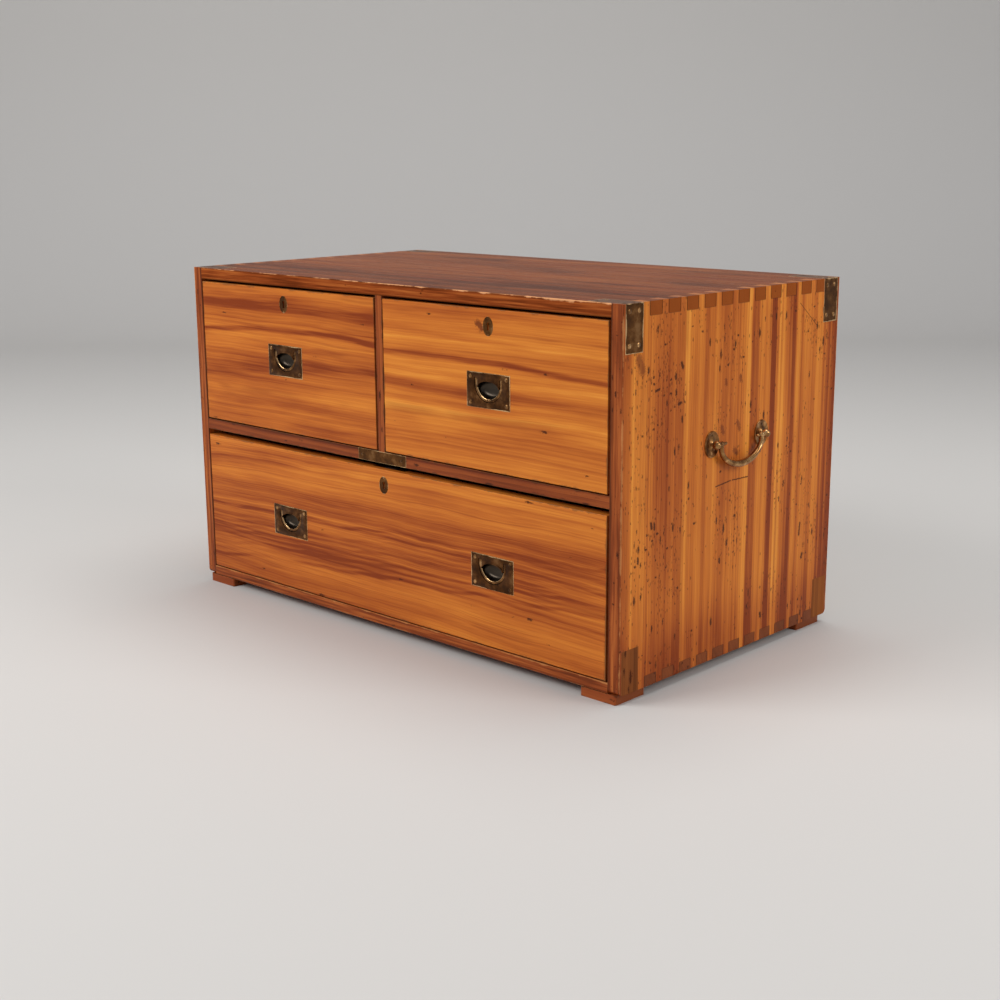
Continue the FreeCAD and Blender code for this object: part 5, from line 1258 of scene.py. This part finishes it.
# Heights and radii in mm below and beyond the ball, and the turn in degrees where the button starts
COLLAR, BUTTON = [(1.2, 0), (1.2, 6.4), (2.4, 6.2), (3.0, 4.6)], [(15.4, 2.0), (15.9, 1.1), (16.0, 0)]
BUTTON_TURN = 158
# Each step of the rose: share of its size, and height above the wood in mm
ROSE_STEPS = [(0.995, -0.2), (1.0, 0.6), (0.985, 1.6), (0.95, 2.2), (0.90, 2.25), (0.84, 1.75),
              (0.60, 1.55), (0.40, 1.75), (0.33, 2.6)]


def oval_rose(bm, place, outward):
    """A raised oval plate with a rim."""
    stations = []
    for share, height in ROSE_STEPS:
        spot = place + outward * height * MM
        stations.append(station(spot, outward, (0, 0, 1), ROSE_UP * share * MM,
                                ROSE_ACROSS * share * MM))
    sweep(bm, stations, segments=48)


def ball_post(bm, place, outward):
    """A collar, a neck, a ball and a small button, turned in one."""
    neck_turn = math.degrees(math.asin(NECK_RADIUS / BALL_RADIUS))
    outline = COLLAR + arc_points(BALL_OUT, BALL_RADIUS, neck_turn, BUTTON_TURN, 14) + BUTTON
    add_turned(bm, [(height * MM, radius * MM) for height, radius in outline], 32, stood(place, outward))


handle_z = PIVOTS["carry_handle_right"].z
roses, posts = bmesh.new(), bmesh.new()
for side in (-1, 1):
    for way in (-1, 1):
        foot = Vector((FACE_X * side, POST_Y * way, handle_z))
        outward = Vector((side, 0, 0))
        oval_rose(roses, foot, outward)
        ball_post(posts, foot, outward)
rose_piece = finished_piece("rose_plates", roses, "case", rose_brass, ["handle_roses"])
post_piece = finished_piece("ball_posts", posts, "case", handle_brass, ["handle_posts"])
print("faces:", len(rose_piece.data.polygons), "in the roses and", len(post_piece.data.polygons),
      "in the posts")

# %% [markdown]
# ## The solids of a pull plate
# A recessed pull is a plate with a finger bowl, and a groove in which the bail lies flush. It is
# milled from a solid, so the mesh is made the same way, from a slab, a thick middle, a bowl and a
# bent groove. They are made round the plate's middle, in millimetres, with Y going into the wood.

# %% Slab, bowl and groove
PLATE_WIDE, PLATE_HIGH, PLATE_THICK, PLATE_PROUD = 82, 49.2, 2.2, 0.35
BOSS_WIDE, BOSS_HIGH, BOSS_FRONT, BOSS_THICK = 64, 43, 0.4, 5.8
BOWL_ACROSS, BOWL_UP, BOWL_RISE, BOWL_DEPTH, BOWL_WALL = 20.5, 11.8, 1.4, 10.5, 1.3
RING_OUTER, RING_BAND, RING_THICK, RING_RISE, RING_ARM = 26.2, 4.6, 3.4, 10.2, 4.6
GROOVE_GAP, GROOVE_DEPTH, GROOVE_OPEN, GROOVE_PAST = 0.5, 4.6, 3, 2.4
INTO_WOOD = Vector((0, 1, 0))
# The bowl from its mouth inwards: share of its size, and depth
BOWL_STEPS = [(1.0, -1.5), (1.0, 0.0), (0.985, 2.0), (0.955, 4.5), (0.90, 6.8), (0.80, 8.6),
              (0.62, 9.6), (0.38, 9.95), (0.12, BOWL_DEPTH)]


def slab(wide, high, front, back):
    """A block between two depths."""
    bm = bmesh.new()
    bmesh.ops.create_cube(bm, size=1.0)
    size = Matrix.Diagonal((wide * MM, (back - front) * MM, high * MM, 1))
    middle = Matrix.Translation((0, (back + front) / 2 * MM, 0))
    bmesh.ops.transform(bm, matrix=middle @ size, verts=bm.verts[:])
    return bm


def bowl_solid(grow):
    """The bowl's hollow, or its outside when it is grown."""
    bm = bmesh.new()
    stations = []
    for share, depth in BOWL_STEPS:
        place = Vector((0, (depth + (grow if depth > 0 else 0)) * MM, BOWL_RISE * MM))
        stations.append(station(place, INTO_WOOD, (1, 0, 0), (BOWL_ACROSS * share + grow) * MM,
                                (BOWL_UP * share + grow) * MM))
    sweep(bm, stations, segments=64, squareness=0.92)
    return bm


def half_ring(radius, level, head, steps):
    """Place, forward and inward round a half ring with straight arms up to head."""
    rows = [(Vector((-radius, level, head)) * MM, (0, 0, -1), (1, 0, 0))]
    for i in range(steps + 1):
        turn = math.pi * i / steps
        outward = Vector((-math.cos(turn), 0, -math.sin(turn)))
        place = (Vector((0, level, RING_RISE)) + outward * radius) * MM
        rows.append((place, (math.sin(turn), 0, -math.cos(turn)), -outward))
    return rows + [(Vector((radius, level, head)) * MM, (0, 0, 1), (-1, 0, 0))]


def groove_solid():
    """The groove has a square section, so its ring has four corners and is turned by 45 degrees."""
    bm = bmesh.new()
    corner = MM * math.sqrt(2)
    wide = (RING_BAND / 2 + GROOVE_GAP) * corner
    half = (GROOVE_DEPTH + GROOVE_OPEN) / 2
    head = RING_RISE + RING_ARM + GROOVE_PAST
    spin = Matrix.Rotation(math.radians(45), 4, "Z")
    rows = half_ring(RING_OUTER - RING_BAND / 2, GROOVE_DEPTH - half, head, 48)
    sweep(bm, [station(*row, wide, half * corner) @ spin for row in rows], segments=4)
    return bm


print("plate of", PLATE_WIDE, "by", PLATE_HIGH, "mm with a bowl", BOWL_DEPTH, "mm deep")

# %% [markdown]
# ## Milling the plate
# Boolean modifiers join the slab, its thick middle and the outside of the bowl, then take away the
# hollow and the groove. A Bevel modifier softens the edges that are sharper than 40 degrees. All
# four plates are copies of the mesh that results, and the tools are thrown away.

# %% One pull plate


def tool_object(name, bm):
    """An object that a Boolean modifier can use."""
    bmesh.ops.recalc_face_normals(bm, faces=bm.faces[:])
    obj = bpy.data.objects.new(name, as_mesh(name, bm))
    bpy.context.scene.collection.objects.link(obj)
    return obj


plate = tool_object("plate_master", slab(PLATE_WIDE, PLATE_HIGH, -PLATE_PROUD, PLATE_THICK))
tools = [("UNION", tool_object("boss", slab(BOSS_WIDE, BOSS_HIGH, BOSS_FRONT, BOSS_THICK))),
         ("UNION", tool_object("bowl_back", bowl_solid(BOWL_WALL))),
         ("DIFFERENCE", tool_object("bowl_hollow", bowl_solid(0.0))),
         ("DIFFERENCE", tool_object("groove", groove_solid()))]
for way, tool in tools:
    modifier = plate.modifiers.new(tool.name, "BOOLEAN")
    modifier.operation = way
    modifier.object = tool
    modifier.solver = "EXACT"
bevel = plate.modifiers.new("soft edges", "BEVEL")
bevel.width = 0.28 * MM
bevel.segments = 2
bevel.limit_method = "ANGLE"
bevel.angle_limit = math.radians(40)
ready = plate.evaluated_get(bpy.context.evaluated_depsgraph_get())
plate_mesh = bpy.data.meshes.new_from_object(ready)
for thing in [plate] + [tool for _, tool in tools]:
    bpy.data.objects.remove(thing)
print("the plate has", len(plate_mesh.polygons), "faces")

# %% [markdown]
# ## The bail
# The bail is a flat band with rounded edges, bent to a half ring, with a pivot pin at the top of
# each arm. It follows the same path as the groove, so it lies in it with the same gap all round.

# %% One bail
BAND_FRONT, BAND_PAST = -0.15, 1.9
PIN_IN, PIN_LONG, PIN_RADIUS = 24, 5, 1.2


def bail_mesh():
    """A bent band and its two pivot pins, round the plate's middle."""
    bm = bmesh.new()
    level = BAND_FRONT + RING_THICK / 2
    rows = half_ring(RING_OUTER - RING_BAND / 2, level, RING_RISE + RING_ARM + BAND_PAST, 32)
    half, thick = RING_BAND / 2 * MM, RING_THICK / 2 * MM
    sweep(bm, [station(*row, half, thick) for row in rows], segments=16, squareness=0.62)
    pin = [(0, 0), (0, PIN_RADIUS * MM), (PIN_LONG * MM, PIN_RADIUS * MM), (PIN_LONG * MM, 0)]
    for way in (-1, 1):
        place = Vector((PIN_IN * way, 1.9, RING_RISE + RING_ARM)) * MM
        add_turned(bm, pin, 16, stood(place, (way, 0, 0)))
    bmesh.ops.recalc_face_normals(bm, faces=bm.faces[:])
    return as_mesh("bail_master", bm)


bail_master = bail_mesh()
print("the bail has", len(bail_master.polygons), "faces")

# %% [markdown]
# ## The four pulls
# Each pull is a copy of the plate on its drawer and a copy of the bail on the bail's own body, so
# that the bail can be lifted out of its groove. The place comes from the CAD plate's box. Each has
# its own brass, because the painted highlight on the bail's rim, the painted shade in the recess and
# the dark bowl are told by their place.

# %% Four plates and four bails
PULLS = sorted(node for node in nodes if "_pull_plate" in node)
EDGE_PROUD = Vector((0, PLATE_PROUD * MM, 0))
RING_INNER = (RING_OUTER - RING_BAND) * MM
BAIL_LIGHT = (0.26, 0.115, 0.034, 1)


def moved(mesh, place):
    """A copy of a mesh, set at a place."""
    copy = mesh.copy()
    copy.transform(Matrix.Translation(place))
    return copy


plate_places = {}
for node in PULLS:
    low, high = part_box(node)
    place = Vector(((low.x + high.x) / 2, low.y, (low.z + high.z) / 2))
    plate_places[node] = place
    pull_brass = brass_finish(node + "_metal", (low - EDGE_PROUD, high), 0.0012, 0.24, 0.10,
                              bowl=low.y)
    hang(node + "_brass", moved(plate_mesh, place), BODY_OF[node], pull_brass, [node])
    bail = node.replace("pull_plate", "pull_bail")
    ring = (place + Vector((0, 0, RING_RISE * MM)), RING_INNER)
    bail_brass = brass_finish(bail + "_metal", shine=0.14, rubbing=0.4, light=BAIL_LIGHT, ring=ring,
                              speckle=0.2)
    hang(bail + "_brass", moved(bail_master, place), bail, bail_brass, [bail])
    print(node, "at", [round(value, 4) for value in place])

# %% [markdown]
# ## A screw head
# Old screws have plain slots at every angle. One head is turned on the lathe with a low dome, and
# slotted by two cuts and an inward step. The screws of one fitting are copies of it, joined in one
# mesh, each turned by a seeded random angle.

# %% Screws
SLOT_SHARE, SLOT_DEPTH, DOME_SHARE = 0.13, 0.45, 0.16
HEAD_BELOW, HEAD_RIM = -0.6, 0.10
random.seed(7)


def screw_mesh(radius):
    """One head on the Z axis, its slot along Y; the radius is in millimetres."""
    bm = bmesh.new()
    dome = radius * DOME_SHARE
    outline = [(HEAD_BELOW, 0), (HEAD_BELOW, radius), (HEAD_RIM, radius),
               (HEAD_RIM + dome * 0.6, radius * 0.80), (HEAD_RIM + dome, 0)]
    lathe(bm, [(height * MM, wide * MM) for height, wide in outline], 20)
    half_slot = radius * SLOT_SHARE * MM
    for way in (-1, 1):
        bmesh.ops.bisect_plane(bm, geom=bm.verts[:] + bm.edges[:] + bm.faces[:], dist=MERGE,
                               plane_co=(half_slot * way, 0, 0), plane_no=(1, 0, 0))
    slot = [face for face in bm.faces
            if abs(face.calc_center_median().x) < half_slot and face.normal.z > 0.3]
    grown = bmesh.ops.extrude_face_region(bm, geom=slot)["geom"]
    bmesh.ops.delete(bm, geom=slot, context="FACES")
    verts = [item for item in grown if isinstance(item, bmesh.types.BMVert)]
    bmesh.ops.translate(bm, vec=(0, 0, -SLOT_DEPTH * MM), verts=verts)
    bmesh.ops.recalc_face_normals(bm, faces=bm.faces[:])
    return as_mesh("screw", bm)


def screws(name, body, places, outward, radius):
    """Screw heads at places, all facing outward."""
    head = screw_mesh(radius)
    bm = bmesh.new()
    for place in places:
        one = head.copy()
        spin = Matrix.Rotation(random.uniform(0, math.pi), 4, "Z")
        one.transform(stood(place, outward) @ spin)
        bm.from_mesh(one)
        bpy.data.meshes.remove(one)
    bpy.data.meshes.remove(head)
    return finished_piece(name, bm, body, screw_brass)


print("a screw slot is", SLOT_DEPTH, "mm deep")

# %% [markdown]
# ## Placing the screws and pins
# Every place is worked out from the box of the fitting that the screw holds: near the corners of
# the pull plates and corner plates, near the ends of the strap, and above and below the middle of
# the roses. The key plates are held by two small pins each.

# %% Place them
PULL_SCREW_X, PULL_SCREW_Z, PULL_SCREW_RADIUS = 34.0 * MM, 18.2 * MM, 2.9
CORNER_SCREW_Y, CORNER_SCREW_EDGE, CORNER_SCREW_RADIUS = 9.75 * MM, 10 * MM, 3.3
STRAP_SCREW_EDGE, STRAP_SCREW_RADIUS = 9 * MM, 2.6
ROSE_SCREW_OUT, ROSE_SCREW_Z, ROSE_SCREW_RADIUS = 1.6 * MM, 12.6 * MM, 2.1
KEY_PIN_Z, KEY_PIN_RADIUS = 11 * MM, 1.1
BOTH_WAYS = (-1, 1)

for node, place in plate_places.items():
    corners = [place + Vector((x * PULL_SCREW_X, -PLATE_PROUD * MM, z * PULL_SCREW_Z))
               for x in BOTH_WAYS for z in BOTH_WAYS]
    screws(node + "_screws", BODY_OF[node], corners, (0, -1, 0), PULL_SCREW_RADIUS)

for node in sorted(name for name in nodes if name.startswith("corner_plate_")):
    low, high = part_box(node)
    side = 1 if high.x > 0 else -1
    rows_y = [(low.y + high.y) / 2 + way * CORNER_SCREW_Y for way in BOTH_WAYS]
    levels = (high.z - CORNER_SCREW_EDGE, low.z + CORNER_SCREW_EDGE)
    face = [Vector((FACE_X * side, y, z)) for y in rows_y for z in levels]
    screws(node + "_side_screws", "case", face, (side, 0, 0), CORNER_SCREW_RADIUS)
    outer, inner = (high.x, low.x) if side > 0 else (low.x, high.x)
    rows_x = (outer - side * CORNER_SCREW_EDGE, inner + side * CORNER_SCREW_EDGE)
    flat = [Vector((x, y, high.z)) for y in rows_y for x in rows_x]
    screws(node + "_top_screws", "case", flat, (0, 0, 1), CORNER_SCREW_RADIUS)

low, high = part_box("rail_strap")
strap_spots = [Vector((x, low.y, (low.z + high.z) / 2))
               for x in (low.x + STRAP_SCREW_EDGE, high.x - STRAP_SCREW_EDGE)]
screws("rail_strap_screws", "case", strap_spots, (0, -1, 0), STRAP_SCREW_RADIUS)
for side, label in ((-1, "left"), (1, "right")):
    spots = [Vector(((FACE_X + ROSE_SCREW_OUT) * side, POST_Y * way, handle_z + z * ROSE_SCREW_Z))
             for way in BOTH_WAYS for z in BOTH_WAYS]
    screws("rose_screws_" + label, "case", spots, (side, 0, 0), ROSE_SCREW_RADIUS)
for drawer in DRAWERS:
    low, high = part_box(drawer + "_key_plate")
    middle = (low + high) / 2
    pins = [Vector((middle.x, low.y, middle.z + way * KEY_PIN_Z)) for way in BOTH_WAYS]
    screws(drawer + "_key_pins", drawer, pins, (0, -1, 0), KEY_PIN_RADIUS)
fasteners = [obj.name for obj in bpy.data.objects if "screws" in obj.name or "_pins" in obj.name]
print(len(fasteners), "groups of screws and pins")

# %% [markdown]
# ## The stage
# A plain pale floor runs up into a pale backdrop that faces the camera. It starts as one edge, and
# is extruded back, round a bend and up. The paint is plain on purpose: the chest is the subject.

# %% Floor and backdrop
STAGE_HALF, FLOOR_FRONT, FLOOR_BACK = 16, -9, 3.2
BEND_RADIUS, WALL_TOP, BEND_STEPS = 1.2, 9.0, 16


def plain_material(name, colour, roughness):
    """One colour, set on the shader's own sockets."""
    material = bpy.data.materials.new(name)
    material.use_nodes = True
    shader = material.node_tree.nodes["Principled BSDF"]
    shader.inputs["Base Color"].default_value = colour
    shader.inputs["Roughness"].default_value = roughness
    return material


def carry(bm, loop, vec):
    """Extrude a row of edges by a vector."""
    verts, edges = extruded(bm, loop)
    bmesh.ops.translate(bm, vec=vec, verts=verts)
    return edges


bm = bmesh.new()
edge = [bm.verts.new((x, FLOOR_FRONT, 0)) for x in (-STAGE_HALF, STAGE_HALF)]
loop = carry(bm, [bm.edges.new(edge)], (0, FLOOR_BACK - FLOOR_FRONT, 0))
for i in range(BEND_STEPS):
    first, last = (math.pi / 2 * (i + step) / BEND_STEPS for step in (0, 1))
    loop = carry(bm, loop, (0, BEND_RADIUS * (math.sin(last) - math.sin(first)),
                            BEND_RADIUS * (math.cos(first) - math.cos(last))))
carry(bm, loop, (0, 0, WALL_TOP))
bmesh.ops.rotate(bm, verts=bm.verts[:], cent=(0, 0, 0), matrix=Matrix.Rotation(azimuth, 3, "Z"))
bmesh.ops.recalc_face_normals(bm, faces=bm.faces[:])
mesh = as_mesh("stage_floor", bm)
mesh.polygons.foreach_set("use_smooth", [True] * len(mesh.polygons))
mesh.materials.append(plain_material("stage_paint", (0.62, 0.60, 0.57, 1), 0.7))
stage = bpy.data.objects.new("stage_floor", mesh)
bpy.context.scene.collection.objects.link(stage)
stage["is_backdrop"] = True
print("the stage has", len(mesh.polygons), "faces")

# %% [markdown]
# ## The light
# Large soft lamps stand to the front left, to the right and above, and the world fills the rest.
# The lamps are large, so that the shadows are soft, and weak enough that the pale floor doesn't
# clip to white.

# %% Lamps and world


def softbox(name, place, aim, width, height, power):
    """A large soft lamp at a place, aimed at a point; sizes are in metres and the power in watts."""
    light = bpy.data.objects.new(name, bpy.data.lights.new(name, "AREA"))
    light.data.shape = "RECTANGLE"
    light.data.size = width
    light.data.size_y = height
    light.data.energy = power
    light.location = place
    light.rotation_mode = "QUATERNION"
    light.rotation_quaternion = (Vector(aim) - Vector(place)).to_track_quat("-Z", "Y")
    bpy.context.scene.collection.objects.link(light)


softbox("lamp_front", (-1.6, -3.0, 2.6), (0, 0, 0.25), 2.4, 1.8, 95)
softbox("lamp_right", (3.4, 0.9, 1.9), (0.3, 0, 0.25), 1.6, 1.6, 42)
softbox("lamp_above", (0.2, 0.6, 3.2), (0, 0, 0.3), 2.2, 1.6, 40)
world = bpy.data.worlds.new("studio")
world.use_nodes = True
background = world.node_tree.nodes["Background"]
background.inputs["Color"].default_value = (0.92, 0.94, 1.0, 1)
background.inputs["Strength"].default_value = 0.45
bpy.context.scene.world = world
print(len(bpy.data.lights), "lamps are set")

# %% [markdown]
# ## Size and end
# The box of the visual model, without the stage, is printed. The visual model has to stay
# inside the CAD model's box.

# %% Print the size of the visual model
low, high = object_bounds()
print("visual box", [round(value, 4) for value in (*low, *high)])
